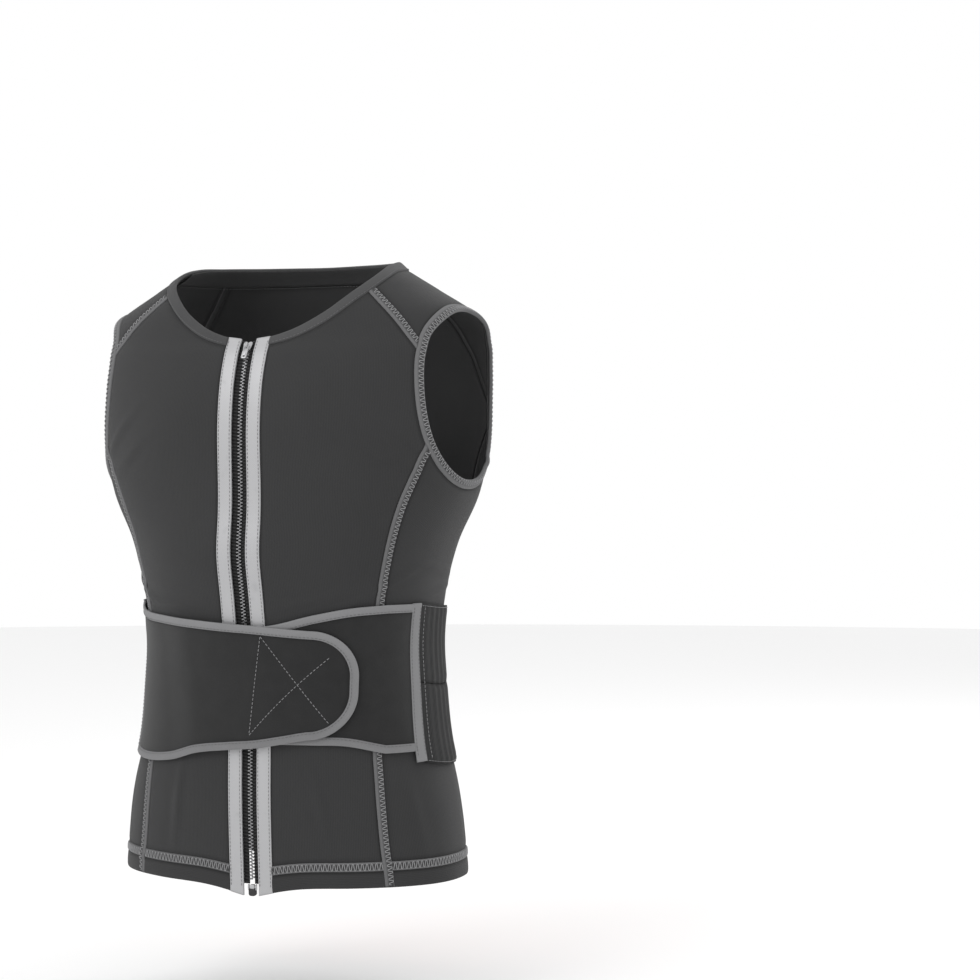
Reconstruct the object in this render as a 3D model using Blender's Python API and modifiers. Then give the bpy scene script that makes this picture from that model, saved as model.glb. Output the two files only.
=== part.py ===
"""Motorcycle armour vest: a zipped sleeveless vest with a kidney belt and a back protector.

Units are metres, +Z is up, the vest faces -Y and the wearer's left is +X. The origin lies
between the shoulders, level with their high points beside the neck, where the vest hangs.
Every cloth piece lies on one torso surface. A point on it has an angle round the body, 0 at
the front centre and 180 degrees at the back centre, and a section number down the body.
"""
import math

import bmesh
import bpy
import numpy as np
from mathutils import Matrix, Vector

# Sizes of the body of the vest
BACK_LENGTH = 0.640
CHEST_WIDTH = 0.418
CHEST_DEPTH = 0.267
CHEST_SWELL = 0.006
BELLY_SWELL = 0.006
CLOTH_THICKNESS = 0.0025
SEAM_THICKNESS = 0.0032
SEAM_WIDTH = 0.0090
EDGE_THICKNESS = 0.0038
JOIN_GAP = 0.0004

# Openings and edges
ARMHOLE_HEIGHT = 0.169
ARMHOLE_DEPTH = 0.145
ARMHOLE_DROP = 0.1315
ARMHOLE_FORWARD = 0.0105
ARMHOLE_BINDING = 0.0100
ARMHOLE_GAP = 0.0010
NECK_BINDING = 0.0110
NECK_GAP = 0.0008
HEM_TURN = 0.0200
FACING_DEPTH = 0.0160
FACING_THICKNESS = 0.0010
FACING_CLEARANCE = 0.0010
POCKET_BAND_WIDTH = 0.0090
POCKET_BAND_DROP = 0.030
POCKET_BAND_LENGTH = 0.250
POCKET_BAND_THICKNESS = 0.0010

# Front zip
ZIP_HALF_GAP = 0.0082
STRIP_WIDTH = 0.0150
TAPE_WIDTH = 0.0115
TAPE_THICKNESS = 0.0008
TAPE_CLEARANCE = 0.0008
TOOTH_ROW_WIDTH = 0.0021
TOOTH_ROW_THICKNESS = 0.0034
TOOTH_ROW_PARTING = 0.0004
SLIDER_WIDTH = 0.0104
SLIDER_LENGTH = 0.0110
SLIDER_PLATE = 0.0011
SLIDER_DROP = 0.0065
POST_WIDTH = 0.0030
POST_LENGTH = 0.0030
ARCH_HEIGHT = 0.0036
ARCH_LENGTH = 0.0062
ARCH_WIDTH = 0.0016
ARCH_WALL = 0.0010
ZIP_CLEARANCE = 0.0004
PLATE_CLEARANCE = 0.0007
BOX_WIDTH = 0.0110
BOX_LENGTH = 0.0120
BOX_THICKNESS = 0.0048
TAB_WIDTH = 0.0056
TAB_LENGTH = 0.0110
TAB_ARM_LENGTH = 0.0050
TAB_ARM_WIDTH = 0.0010
TAB_THICKNESS = 0.0010
TAB_PIN_RADIUS = 0.0006
TAB_HOLE_RADIUS = 0.0009

# Kidney belt
BELT_THICKNESS = 0.0024
BELT_CLEARANCE = 0.0011
BELT_BINDING = 0.0085
BELT_BINDING_THICKNESS = 0.0028
FRONT_STRIP_ANGLE = math.radians(74.0)
FRONT_STRIP_WIDTH = 0.0130
BACK_STRIP_ANGLE = math.radians(118.5)
BACK_STRIP_WIDTH = 0.0120
RIGHT_WING_REACH = math.radians(49.8)
LEFT_WING_REACH = math.radians(20.0)
WING_CLEARANCE = 0.0009
WING_CORNER = 0.047
WING_GAP = 0.0008

# Back protector
PROTECTOR_LENGTH = 0.463
PROTECTOR_DROP = 0.022
PROTECTOR_WIDTH = 0.300
PROTECTOR_THICKNESS = 0.0120
PROTECTOR_EDGE = 0.0060
PROTECTOR_CLEARANCE = 0.0016
RIDGE_PITCH = 0.0185
RIDGE_HEIGHT = 0.0014
RIDGE_WAVE = 0.0050
TAIL_LENGTH = 0.148
TAIL_DROP = 0.440
TAIL_WIDTH = 0.122
TAIL_THICKNESS = 0.0052
TAIL_CLEARANCE = 0.0010
TAIL_HOLE_RADIUS = 0.0038

# Torso sections. Drop is a share of the back length; half width is a share of the chest
# width; front and back are shares of the chest depth; squareness is the curve's exponent
DROP, HALF_WIDTH, FRONT, BACK, SQUARENESS = range(5)
SECTIONS = np.array([
    (-0.022, 0.248, 0.238, 0.278, 2.20),
    (0.000, 0.280, 0.286, 0.325, 2.20),
    (0.035, 0.366, 0.325, 0.357, 2.25),
    (0.079, 0.470, 0.369, 0.401, 2.30),
    (0.118, 0.495, 0.413, 0.437, 2.35),
    (0.148, 0.500, 0.452, 0.464, 2.35),
    (0.195, 0.500, 0.484, 0.484, 2.35),
    (0.266, 0.490, 0.500, 0.496, 2.35),
    (0.358, 0.459, 0.500, 0.496, 2.30),
    (0.436, 0.403, 0.496, 0.480, 2.30),
    (0.514, 0.371, 0.484, 0.456, 2.30),
    (0.592, 0.358, 0.456, 0.433, 2.30),
    (0.670, 0.366, 0.433, 0.417, 2.30),
    (0.748, 0.380, 0.417, 0.405, 2.30),
    (0.827, 0.407, 0.417, 0.401, 2.30),
    (0.905, 0.425, 0.409, 0.401, 2.30),
    (0.984, 0.438, 0.397, 0.401, 2.30),
    (1.040, 0.441, 0.396, 0.401, 2.30),
])

# Neck edge and hem edge: angle in degrees, drop as a share of the back length
NECK_EDGE = np.array([
    (0, 0.122), (12, 0.117), (25, 0.103), (38, 0.079), (52, 0.045), (64, 0.020),
    (75, 0.003), (90, -0.009), (110, -0.015), (140, -0.018), (180, -0.018),
])
HEM_EDGE = np.array([
    (0, 0.990), (6, 0.988), (14, 0.982), (25, 0.976), (50, 0.972), (90, 0.970), (180, 0.975),
])

# Shoulder seams: drop as a share of the back length, angle in degrees
FRONT_SHOULDER = np.array([
    (0.010, 57.0), (0.048, 59.3), (0.070, 60.7), (0.092, 62.2), (0.128, 64.6), (0.145, 65.9),
    (0.190, 71.0),
])
BACK_SHOULDER = np.array([
    (-0.021, 115.0), (0.000, 116.0), (0.046, 118.2), (0.072, 118.6), (0.129, 117.0),
    (0.186, 113.0), (0.235, 105.0),
])

# Long seams: drop as a share of the back length, distance from the middle as a share of
# the chest width
FRONT_PRINCESS = np.array([
    (0.240, 0.460), (0.290, 0.422), (0.337, 0.392), (0.380, 0.364), (0.424, 0.340),
    (0.470, 0.322), (0.534, 0.303), (0.650, 0.292), (0.769, 0.296), (0.805, 0.302),
    (0.854, 0.309), (0.903, 0.316), (0.948, 0.324), (1.010, 0.333),
])
BACK_PRINCESS = np.array([
    (0.225, 0.480), (0.255, 0.452), (0.281, 0.430), (0.340, 0.400), (0.404, 0.366),
    (0.470, 0.325), (0.535, 0.283), (0.569, 0.261), (0.635, 0.237), (0.706, 0.220),
    (0.819, 0.196), (0.888, 0.203), (0.966, 0.218), (1.010, 0.225),
])

# Kidney belt edges: angle in degrees, drop of the top edge and of the bottom edge
BELT_EDGES = np.array([
    (-30, 0.566, 0.751), (0, 0.566, 0.751), (13, 0.563, 0.750), (32, 0.546, 0.750),
    (46, 0.536, 0.752), (60, 0.532, 0.765), (74, 0.531, 0.782), (90, 0.537, 0.793),
    (118, 0.543, 0.790), (140, 0.556, 0.817), (160, 0.562, 0.832), (180, 0.563, 0.834),
])
RIGHT_WING_EDGES = np.array([
    (-74, 0.531, 0.782), (-60, 0.545, 0.788), (-43, 0.551, 0.783), (-28, 0.554, 0.768),
    (-9, 0.559, 0.760), (5, 0.562, 0.756), (18, 0.566, 0.749), (31, 0.570, 0.741),
    (60, 0.575, 0.735),
])

# Protector outlines, down from the top: share of the length, half width as a share of the
# full width
PROTECTOR_OUTLINE = np.array([
    (0.000, 0.190), (0.030, 0.290), (0.085, 0.335), (0.138, 0.342), (0.190, 0.390),
    (0.255, 0.465), (0.340, 0.500), (0.425, 0.487), (0.515, 0.433), (0.600, 0.372),
    (0.690, 0.352), (0.795, 0.356), (0.880, 0.327), (0.945, 0.262), (1.000, 0.140),
])
TAIL_OUTLINE = np.array([
    (0.000, 0.410), (0.200, 0.490), (0.405, 0.500), (0.600, 0.467), (0.770, 0.393),
    (0.905, 0.270), (1.000, 0.120),
])
# Vent holes of the tail plate: distance from the middle as a share of the width, distance
# from the top as a share of the length
TAIL_HOLES = [
    (0.350, 0.400), (0.355, 0.540), (0.325, 0.670), (0.262, 0.785), (0.120, 0.925),
    (0.000, 0.625), (0.000, 0.735), (0.000, 0.850),
]
HOLE_SIDES = 6


def smooth_column(column, section):
    """One column of the section table on a smooth curve through its rows."""
    values = SECTIONS[:, column]
    last = len(values) - 1
    section = np.clip(section, 0, last)
    row = np.clip(np.floor(section).astype(int), 0, last - 1)
    t = section - row
    start, end = values[row], values[row + 1]
    start_slope = (end - values[np.maximum(row - 1, 0)]) / 2
    end_slope = (values[np.minimum(row + 2, last)] - start) / 2
    return ((2 * t**3 - 3 * t**2 + 1) * start + (t**3 - 2 * t**2 + t) * start_slope
            + (3 * t**2 - 2 * t**3) * end + (t**3 - t**2) * end_slope)


FINE_SECTIONS = np.linspace(0, len(SECTIONS) - 1, 1201)
FINE_DROPS = smooth_column(DROP, FINE_SECTIONS)


def section_at(drop):
    """Section number at a drop below the shoulder, given as a share of the back length."""
    return np.interp(drop, FINE_DROPS, FINE_SECTIONS)


def swell(angle, drop, across):
    """Raise the cloth over the two chest muscles and the belly, with a crease between."""
    chest = np.exp(-((np.abs(across) / CHEST_WIDTH - 0.19) / 0.17)**2)
    chest = chest * np.exp(-((drop - 0.245) / 0.085)**2)
    belly = np.exp(-(across / CHEST_WIDTH / 0.28)**4) * np.exp(-((drop - 0.4535) / 0.050)**2)
    front = np.clip(np.cos(angle) * 2.5, 0, 1)
    return (CHEST_SWELL * chest + BELLY_SWELL * belly) * front * front * (3 - 2 * front)


def torso(angle, section):
    """Points of the torso surface; each section is a rounded box with its own corners."""
    angle, section = np.broadcast_arrays(np.asarray(angle, float), np.asarray(section, float))
    half_width = CHEST_WIDTH * smooth_column(HALF_WIDTH, section)
    depth = CHEST_DEPTH * np.where(np.cos(angle) > 0, smooth_column(FRONT, section),
                                   smooth_column(BACK, section))
    power = smooth_column(SQUARENESS, section)
    drop = smooth_column(DROP, section)
    radius = ((np.abs(np.sin(angle)) / half_width)**power
              + (np.abs(np.cos(angle)) / depth)**power)**(-1 / power)
    radius = radius + swell(angle, drop, radius * np.sin(angle))
    return np.stack([radius * np.sin(angle), -radius * np.cos(angle), -drop * BACK_LENGTH], -1)


def directions(angle, section):
    """Derivatives of the torso surface along the angle and down the sections."""
    step = 1e-3
    by_angle = (torso(angle + step, section) - torso(angle - step, section)) / (2 * step)
    last = len(SECTIONS) - 1
    above = np.clip(section - step, 0, last)
    below = np.clip(section + step, 0, last)
    by_section = (torso(angle, below) - torso(angle, above)) / (below - above)[..., None]
    return by_angle, by_section


def outward(angle, section):
    """Unit normals of the torso surface, pointing away from the body."""
    by_angle, by_section = directions(angle, section)
    normal = np.cross(by_section, by_angle)
    return normal / np.linalg.norm(normal, axis=-1, keepdims=True)


def lifted(curve, lift=0.0):
    """Points over the torso at a height above its surface, from pairs (angle, section)."""
    angle, section = curve[..., 0], curve[..., 1]
    return torso(angle, section) + outward(angle, section) * np.asarray(lift)[..., None]


def angle_at(section, value, axis, low, high):
    """Angle between low and high at which x or y has the value, one for each section."""
    trial = np.radians(np.linspace(low, high, 361))
    found = []
    for one_section, one_value in zip(section, value):
        along = torso(trial, np.full(trial.shape, one_section))[:, axis]
        order = np.argsort(along)
        found.append(np.interp(one_value, along[order], trial[order]))
    return np.array(found)


def table_curve(table, values):
    """Second column of a table on a smooth curve through its rows, at given first values."""
    first, second = table[:, 0], table[:, 1]
    slopes = np.gradient(second, first)
    row = np.clip(np.searchsorted(first, values) - 1, 0, len(first) - 2)
    width = first[row + 1] - first[row]
    t = np.clip((values - first[row]) / width, 0, 1)
    return ((2 * t**3 - 3 * t**2 + 1) * second[row]
            + (t**3 - 2 * t**2 + t) * width * slopes[row]
            + (3 * t**2 - 2 * t**3) * second[row + 1]
            + (t**3 - t**2) * width * slopes[row + 1])


def edge_round(table, low=0.0, high=186.0, count=373):
    """A level edge round the body, a little past the middle, from a table of angle and drop."""
    degrees = np.linspace(low, high, count)
    return np.stack([np.radians(degrees), section_at(table_curve(table, degrees))], -1)


def seam_at_angle(table, count=201):
    """A seam down the body from a table of drop and angle."""
    drops = np.linspace(table[0, 0], table[-1, 0], count)
    return np.stack([np.radians(table_curve(table, drops)), section_at(drops)], -1)


def seam_at_distance(table, low, high, count=201):
    """A seam down the body from a table of drop and distance from the middle."""
    drops = np.linspace(table[0, 0], table[-1, 0], count)
    sections = section_at(drops)
    across = CHEST_WIDTH * table_curve(table, drops)
    return np.stack([angle_at(sections, across, 0, low, high), sections], -1)


def zip_line(distance, count=201):
    """A line beside the zip, at one distance from the middle all the way down."""
    sections = section_at(np.linspace(0.075, 1.010, count))
    return np.stack([angle_at(sections, np.full(count, distance), 0, 0, 45), sections], -1)


def armhole_loop(count=241):
    """Edge of the armhole, from its top down the front and up the back."""
    turn = np.linspace(0, 2 * math.pi, count)
    squared = 2 / 2.2
    forward = np.sign(np.sin(turn)) * np.abs(np.sin(turn))**squared
    upward = np.sign(np.cos(turn)) * np.abs(np.cos(turn))**squared
    sections = section_at((ARMHOLE_DROP - upward * ARMHOLE_HEIGHT / 2) / BACK_LENGTH)
    depth = -ARMHOLE_FORWARD - forward * ARMHOLE_DEPTH / 2
    return np.stack([angle_at(sections, depth, 1, 20, 160), sections], -1)


def moved_sideways(curve, distance, closed=False):
    """The curve moved over the surface: a curve going down moves towards the front."""
    points = lifted(curve)
    if closed:
        ring = points[:-1]
        tangent = np.roll(ring, -1, axis=0) - np.roll(ring, 1, axis=0)
        tangent = np.vstack([tangent, tangent[:1]])
    else:
        tangent = np.gradient(points, axis=0)
    tangent = tangent / np.linalg.norm(tangent, axis=1, keepdims=True)
    side = np.cross(tangent, outward(curve[:, 0], curve[:, 1]))
    by_angle, by_section = directions(curve[:, 0], curve[:, 1])
    aa = (by_angle * by_angle).sum(1)
    ab = (by_angle * by_section).sum(1)
    bb = (by_section * by_section).sum(1)
    sa, sb = (side * by_angle).sum(1), (side * by_section).sum(1)
    scale = distance / (aa * bb - ab * ab)
    step = np.stack([(sa * bb - sb * ab) * scale, (sb * aa - sa * ab) * scale], -1)
    return curve + step


def crossing(curve, border):
    """Place of the first crossing of a curve with a border, as a row number and fraction."""
    p, r = curve[:-1, None], (curve[1:] - curve[:-1])[:, None]
    q, s = border[None, :-1], (border[1:] - border[:-1])[None]
    area = r[..., 0] * s[..., 1] - r[..., 1] * s[..., 0]
    area = np.where(np.abs(area) < 1e-14, 1e-14, area)
    gap = q - p
    t = (gap[..., 0] * s[..., 1] - gap[..., 1] * s[..., 0]) / area
    u = (gap[..., 0] * r[..., 1] - gap[..., 1] * r[..., 0]) / area
    hits = np.argwhere((t >= 0) & (t <= 1) & (u >= 0) & (u <= 1))
    places = sorted(row + t[row, column] for row, column in hits)
    return places


def between(curve, start=None, end=None, last_end=False):
    """The stretch of a curve between its crossings with two borders."""
    first, last = 0.0, len(curve) - 1.0
    if start is not None:
        first = crossing(curve, start)[0]
    if end is not None:
        places = [place for place in crossing(curve, end) if place > first + 1e-6]
        last = places[-1] if last_end else places[0]
    inner = np.arange(math.ceil(first + 1e-9), math.floor(last - 1e-9) + 1)
    places = np.concatenate([[first], inner, [last]])
    index = np.arange(len(curve))
    return np.stack([np.interp(places, index, curve[:, 0]),
                     np.interp(places, index, curve[:, 1])], -1)


def evenly(curve, count):
    """The curve with count equal steps along the surface."""
    points = lifted(curve)
    length = np.concatenate([[0], np.cumsum(np.linalg.norm(np.diff(points, axis=0), axis=1))])
    places = np.linspace(0, length[-1], count + 1)
    return np.stack([np.interp(places, length, curve[:, 0]),
                     np.interp(places, length, curve[:, 1])], -1)


def patch(left, right, top, bottom):
    """Rows from top to bottom between four edges that meet at their corners."""
    rows, columns = len(left), len(top)
    v = np.linspace(0, 1, rows)[:, None, None]
    u = np.linspace(0, 1, columns)[None, :, None]
    sides = (1 - u) * left[:, None] + u * right[:, None]
    ends = (1 - v) * top[None] + v * bottom[None]
    corners = ((1 - u) * (1 - v) * top[0] + u * (1 - v) * top[-1]
               + (1 - u) * v * bottom[0] + u * v * bottom[-1])
    return sides + ends - corners


def chained(*curves):
    """Curves that follow each other, as one."""
    return np.vstack([curves[0]] + [curve[1:] for curve in curves[1:]])


for old in list(bpy.data.objects):
    bpy.data.objects.remove(old, do_unlink=True)
VEST = bpy.data.collections.new("armour_vest")
CUTTERS = bpy.data.collections.new("cutters")
bpy.context.scene.collection.children.link(VEST)
bpy.context.scene.collection.children.link(CUTTERS)


def material(name, colour, roughness, metallic=0.0):
    """A plain material with the colour, roughness and metallic value of one piece."""
    made = bpy.data.materials.new(name)
    made.use_nodes = True
    shader = made.node_tree.nodes["Principled BSDF"]
    shader.inputs["Base Color"].default_value = (*colour, 1.0)
    shader.inputs["Roughness"].default_value = roughness
    shader.inputs["Metallic"].default_value = metallic
    return made


FABRIC = ((0.048, 0.048, 0.050), 0.85, 0.0)
BELT_FABRIC = ((0.021, 0.021, 0.022), 0.80, 0.0)
DARK = ((0.015, 0.015, 0.016), 0.85, 0.0)
SEAM_THREAD = ((0.170, 0.170, 0.172), 0.80, 0.0)
BINDING = ((0.085, 0.085, 0.087), 0.75, 0.0)
REFLECTIVE = ((0.400, 0.400, 0.405), 0.45, 0.0)
GREY_BINDING = ((0.215, 0.215, 0.218), 0.70, 0.0)
ZIP_METAL = ((0.060, 0.060, 0.062), 0.35, 0.8)
ORANGE = ((0.640, 0.085, 0.018), 0.50, 0.0)


def new_object(name, mesh, look, collection=VEST):
    """Link a mesh as one named piece with its own material."""
    piece = bpy.data.objects.new(name, mesh)
    collection.objects.link(piece)
    if look is not None:
        mesh.materials.append(material(name, *look))
    return piece


def grid_mesh(name, points, normals=None, closed=False, mirrored=False):
    """A grid primitive laid over rows of points, with its faces turned outward."""
    rows, columns = points.shape[0] - 1, points.shape[1] - 1
    if mirrored:
        points = points * np.array([-1.0, 1.0, 1.0])
    form = bmesh.new()
    bmesh.ops.create_grid(form, x_segments=columns, y_segments=rows, size=0.5)
    for vertex in form.verts:
        column = round((vertex.co.x + 0.5) * columns)
        row = round((vertex.co.y + 0.5) * rows)
        vertex.co = Vector(points[row, column])
    if closed:
        bmesh.ops.remove_doubles(form, verts=form.verts[:], dist=1e-6)
    form.normal_update()
    outside = 0.0
    for face in form.faces:
        middle = face.calc_center_median()
        outside += face.normal.dot(Vector((middle.x, middle.y, 0.0))) * face.calc_area()
    if outside < 0:
        bmesh.ops.reverse_faces(form, faces=form.faces[:])
    mesh = bpy.data.meshes.new(name)
    form.to_mesh(mesh)
    form.free()
    return mesh


def cloth(name, grid, lift, thickness, look, whole=False, closed=False, mirrored=False):
    """A cloth piece: rows of (angle, section) laid on the torso, then given thickness."""
    mesh = grid_mesh(name, lifted(grid, lift), closed=closed, mirrored=mirrored)
    piece = new_object(name, mesh, look)
    if whole:
        mirror = piece.modifiers.new("Both sides", "MIRROR")
        mirror.merge_threshold = 0.0001
        mirror.use_clip = True
    wall = piece.modifiers.new("Wall", "SOLIDIFY")
    wall.thickness = thickness
    wall.offset = 1.0
    return piece


def cloth_pair(name, grid, lift, thickness, look, closed=False):
    """The same cloth piece on the wearer's left and on the wearer's right."""
    cloth(name + "_left", grid, lift, thickness, look, closed=closed)
    cloth(name + "_right", grid, lift, thickness, look, closed=closed, mirrored=True)


def strip_between(first, second, count):
    """Rows across a narrow strip between two edges."""
    return np.stack([evenly(first, count), evenly(second, count)], 1)


# Lines on the torso from which every piece is cut
half_seam = SEAM_WIDTH / 2
neck_edge = edge_round(NECK_EDGE)
neck_inner = moved_sideways(neck_edge, NECK_BINDING)
neck_border = moved_sideways(neck_edge, NECK_BINDING + NECK_GAP)
hem_edge = edge_round(HEM_EDGE)
hem_seam_line = moved_sideways(hem_edge, -HEM_TURN)
hem_border = moved_sideways(hem_seam_line, -half_seam - JOIN_GAP)
arm_edge = armhole_loop()
arm_outer = moved_sideways(arm_edge, ARMHOLE_BINDING, closed=True)
arm_border = moved_sideways(arm_edge, ARMHOLE_BINDING + ARMHOLE_GAP, closed=True)
front_shoulder = seam_at_angle(FRONT_SHOULDER)
back_shoulder = seam_at_angle(BACK_SHOULDER)
front_princess = seam_at_distance(FRONT_PRINCESS, 0, 90)
back_princess = seam_at_distance(BACK_PRINCESS, 90, 180)
strip_outer = ZIP_HALF_GAP + STRIP_WIDTH
panel_start = zip_line(strip_outer + JOIN_GAP)
panel_side = half_seam + JOIN_GAP


def rolled(loop, shift):
    """A closed loop that starts a share of the way round."""
    ring = np.roll(loop[:-1], -int(shift * (len(loop) - 1)), axis=0)
    return np.vstack([ring, ring[:1]])


# The armhole border seen from each panel starts on the far side of the hole
arm_from_back = rolled(arm_border, 0.75)
arm_from_top = arm_border
arm_from_bottom = rolled(arm_border, 0.5)

# Front panels
PRINCESS_STEPS = 12
ARM_STEPS = 7
SHOULDER_STEPS = 4
FRONT_COLUMNS = 6
shoulder_front_side = moved_sideways(front_shoulder, panel_side)
princess_front_side = moved_sideways(front_princess, panel_side)
shoulder_part = evenly(between(shoulder_front_side, neck_border, arm_border), SHOULDER_STEPS)
arm_part = between(arm_from_top, shoulder_front_side, princess_front_side, last_end=False)
arm_part = evenly(arm_part, ARM_STEPS)
princess_part = evenly(between(princess_front_side, arm_from_bottom, hem_border, True),
                       PRINCESS_STEPS)
right_side = chained(shoulder_part, arm_part, princess_part)
left_side = evenly(between(panel_start, neck_border, hem_border), len(right_side) - 1)
top_side = evenly(between(neck_border, panel_start, shoulder_front_side), FRONT_COLUMNS)
bottom_side = evenly(between(hem_border, panel_start, princess_front_side), FRONT_COLUMNS)
cloth_pair("front_panel", patch(left_side, right_side, top_side, bottom_side), 0.0,
           CLOTH_THICKNESS, FABRIC)

# Side panels
SIDE_COLUMNS = 9
princess_rear_side = moved_sideways(front_princess, -panel_side)
back_princess_front_side = moved_sideways(back_princess, panel_side)
side_left = evenly(between(princess_rear_side, arm_from_top, hem_border), PRINCESS_STEPS)
side_right = evenly(between(back_princess_front_side, arm_from_top, hem_border),
                    PRINCESS_STEPS)
side_top = evenly(between(arm_from_top, princess_rear_side, back_princess_front_side),
                  SIDE_COLUMNS)
side_bottom = evenly(between(hem_border, princess_rear_side, back_princess_front_side),
                     SIDE_COLUMNS)
cloth_pair("side_panel", patch(side_left, side_right, side_top, side_bottom), 0.0,
           CLOTH_THICKNESS, FABRIC)

# Shoulder yokes
YOKE_COLUMNS = 10
shoulder_rear_side = moved_sideways(front_shoulder, -panel_side)
back_shoulder_front_side = moved_sideways(back_shoulder, panel_side)
yoke_left = evenly(between(shoulder_rear_side, neck_border, arm_border), SHOULDER_STEPS)
yoke_right = evenly(between(back_shoulder_front_side, neck_border, arm_border),
                    SHOULDER_STEPS)
yoke_top = evenly(between(neck_border, shoulder_rear_side, back_shoulder_front_side),
                  YOKE_COLUMNS)
arm_top = between(arm_from_bottom, back_shoulder_front_side, shoulder_rear_side)[::-1]
cloth_pair("shoulder_yoke", patch(yoke_left, yoke_right, yoke_top,
                                  evenly(arm_top, YOKE_COLUMNS)), 0.0,
           CLOTH_THICKNESS, FABRIC)

# Back panel, one half mirrored over the middle
BACK_COLUMNS = 5
ARM_BACK_STEPS = 3
BACK_SHOULDER_STEPS = 5
middle_back = np.stack([np.full(201, math.pi), section_at(np.linspace(-0.021, 1.010, 201))], -1)
shoulder_back_side = moved_sideways(back_shoulder, -panel_side)
princess_back_side = moved_sideways(back_princess, -panel_side)
shoulder_part = evenly(between(shoulder_back_side, neck_border, arm_border),
                       BACK_SHOULDER_STEPS)
arm_part = between(arm_from_bottom, princess_back_side, shoulder_back_side)[::-1]
arm_part = evenly(arm_part, ARM_BACK_STEPS)
princess_part = evenly(between(princess_back_side, arm_from_top, hem_border, True),
                       PRINCESS_STEPS)
outer_side = chained(shoulder_part, arm_part, princess_part)
middle_side = evenly(between(middle_back, neck_border, hem_border), len(outer_side) - 1)
back_top = evenly(between(neck_border, shoulder_back_side, middle_back), BACK_COLUMNS)
back_bottom = evenly(between(hem_border, princess_back_side, middle_back), BACK_COLUMNS)
cloth("back_panel", patch(outer_side, middle_side, back_top, back_bottom), 0.0,
      CLOTH_THICKNESS, FABRIC, whole=True)

# Seam bands between the panels
def seam_band(name, line, start, end, count, last_end=False):
    """A flat seam band on both sides of its line, cut off at two borders."""
    front = between(moved_sideways(line, half_seam), start, end, last_end)
    rear = between(moved_sideways(line, -half_seam), start, end, last_end)
    cloth_pair(name, strip_between(front, rear, count), 0.0, SEAM_THICKNESS, SEAM_THREAD)


seam_band("shoulder_seam_front", front_shoulder, neck_border, arm_border, SHOULDER_STEPS)
seam_band("shoulder_seam_back", back_shoulder, neck_border, arm_border,
          BACK_SHOULDER_STEPS)
seam_band("princess_seam_front", front_princess, arm_border, hem_border, PRINCESS_STEPS)
seam_band("princess_seam_back", back_princess, arm_border, hem_border, PRINCESS_STEPS)

# Hem: the turned-up edge and the seam above it, each one piece round the body
HEM_STEPS = 20
hem_start = zip_line(strip_outer + JOIN_GAP)
hem_top = between(moved_sideways(hem_seam_line, half_seam + JOIN_GAP), hem_start, middle_back)
hem_low = between(hem_edge, hem_start, middle_back)
cloth("hem_band", strip_between(hem_top, hem_low, HEM_STEPS), 0.0, CLOTH_THICKNESS, FABRIC,
      whole=True)
seam_top = between(moved_sideways(hem_seam_line, -half_seam), hem_start, middle_back)
seam_low = between(moved_sideways(hem_seam_line, half_seam), hem_start, middle_back)
cloth("hem_seam", strip_between(seam_top, seam_low, HEM_STEPS), 0.0, SEAM_THICKNESS,
      SEAM_THREAD, whole=True)

# Neck and armhole bindings, and the band inside the back neck
NECK_STEPS = 24
ARMHOLE_STEPS = 40
neck_band = strip_between(between(neck_edge, hem_start, middle_back),
                          between(neck_inner, hem_start, middle_back), NECK_STEPS)
cloth("neck_binding", neck_band, 0.0, EDGE_THICKNESS, BINDING, whole=True)
cloth_pair("armhole_binding", strip_between(arm_edge, arm_outer, ARMHOLE_STEPS), 0.0,
           EDGE_THICKNESS, BINDING, closed=True)
facing_start = np.stack([np.full(201, math.radians(80)), middle_back[:, 1]], -1)
facing_lines = [between(moved_sideways(neck_edge, JOIN_GAP + FACING_DEPTH * share),
                        facing_start, middle_back) for share in (0.0, 0.33, 0.67, 1.0)]
facing_grid = np.stack([evenly(line, 9) for line in facing_lines], 1)
cloth("back_neck_facing", facing_grid, -FACING_CLEARANCE - FACING_THICKNESS,
      FACING_THICKNESS, BINDING, whole=True)

# Pocket band across the top of the back
POCKET_STEPS = 7
pocket_section = section_at(np.full(POCKET_STEPS + 1, POCKET_BAND_DROP / BACK_LENGTH))
pocket_across = np.linspace(POCKET_BAND_LENGTH / 2, 0.0, POCKET_STEPS + 1)
pocket_line = np.stack([angle_at(pocket_section, pocket_across, 0, 90, 180),
                        pocket_section], -1)
pocket_line[-1, 0] = math.pi
pocket_lift = CLOTH_THICKNESS + BELT_CLEARANCE - JOIN_GAP / 2
cloth("pocket_band", np.stack([moved_sideways(pocket_line, -POCKET_BAND_WIDTH / 2),
                               moved_sideways(pocket_line, POCKET_BAND_WIDTH / 2)], 1),
      pocket_lift, POCKET_BAND_THICKNESS, GREY_BINDING, whole=True)


# Front zip: reflective strips, tapes and rows of teeth
def zip_frame(drop):
    """Frame on the zip's middle line: X across, Y up along the chain, Z outward."""
    section = section_at(drop)
    at = np.array([[0.0, section]])
    point = lifted(at)[0]
    normal = outward(at[:, 0], at[:, 1])[0]
    up = np.cross(normal, (1.0, 0.0, 0.0))
    return Matrix(((1.0, up[0], normal[0], point[0]), (0.0, up[1], normal[1], point[1]),
                   (0.0, up[2], normal[2], point[2]), (0.0, 0.0, 0.0, 1.0)))


ZIP_STEPS = 19
TEETH_STEPS = 27
neck_start = edge_round(NECK_EDGE, 0.0, 30.0)
strip_grid = strip_between(between(zip_line(ZIP_HALF_GAP), neck_start, hem_edge),
                           between(zip_line(strip_outer), neck_start, hem_edge), ZIP_STEPS)
cloth_pair("reflective_strip", strip_grid, 0.0, SEAM_THICKNESS, REFLECTIVE)

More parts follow.
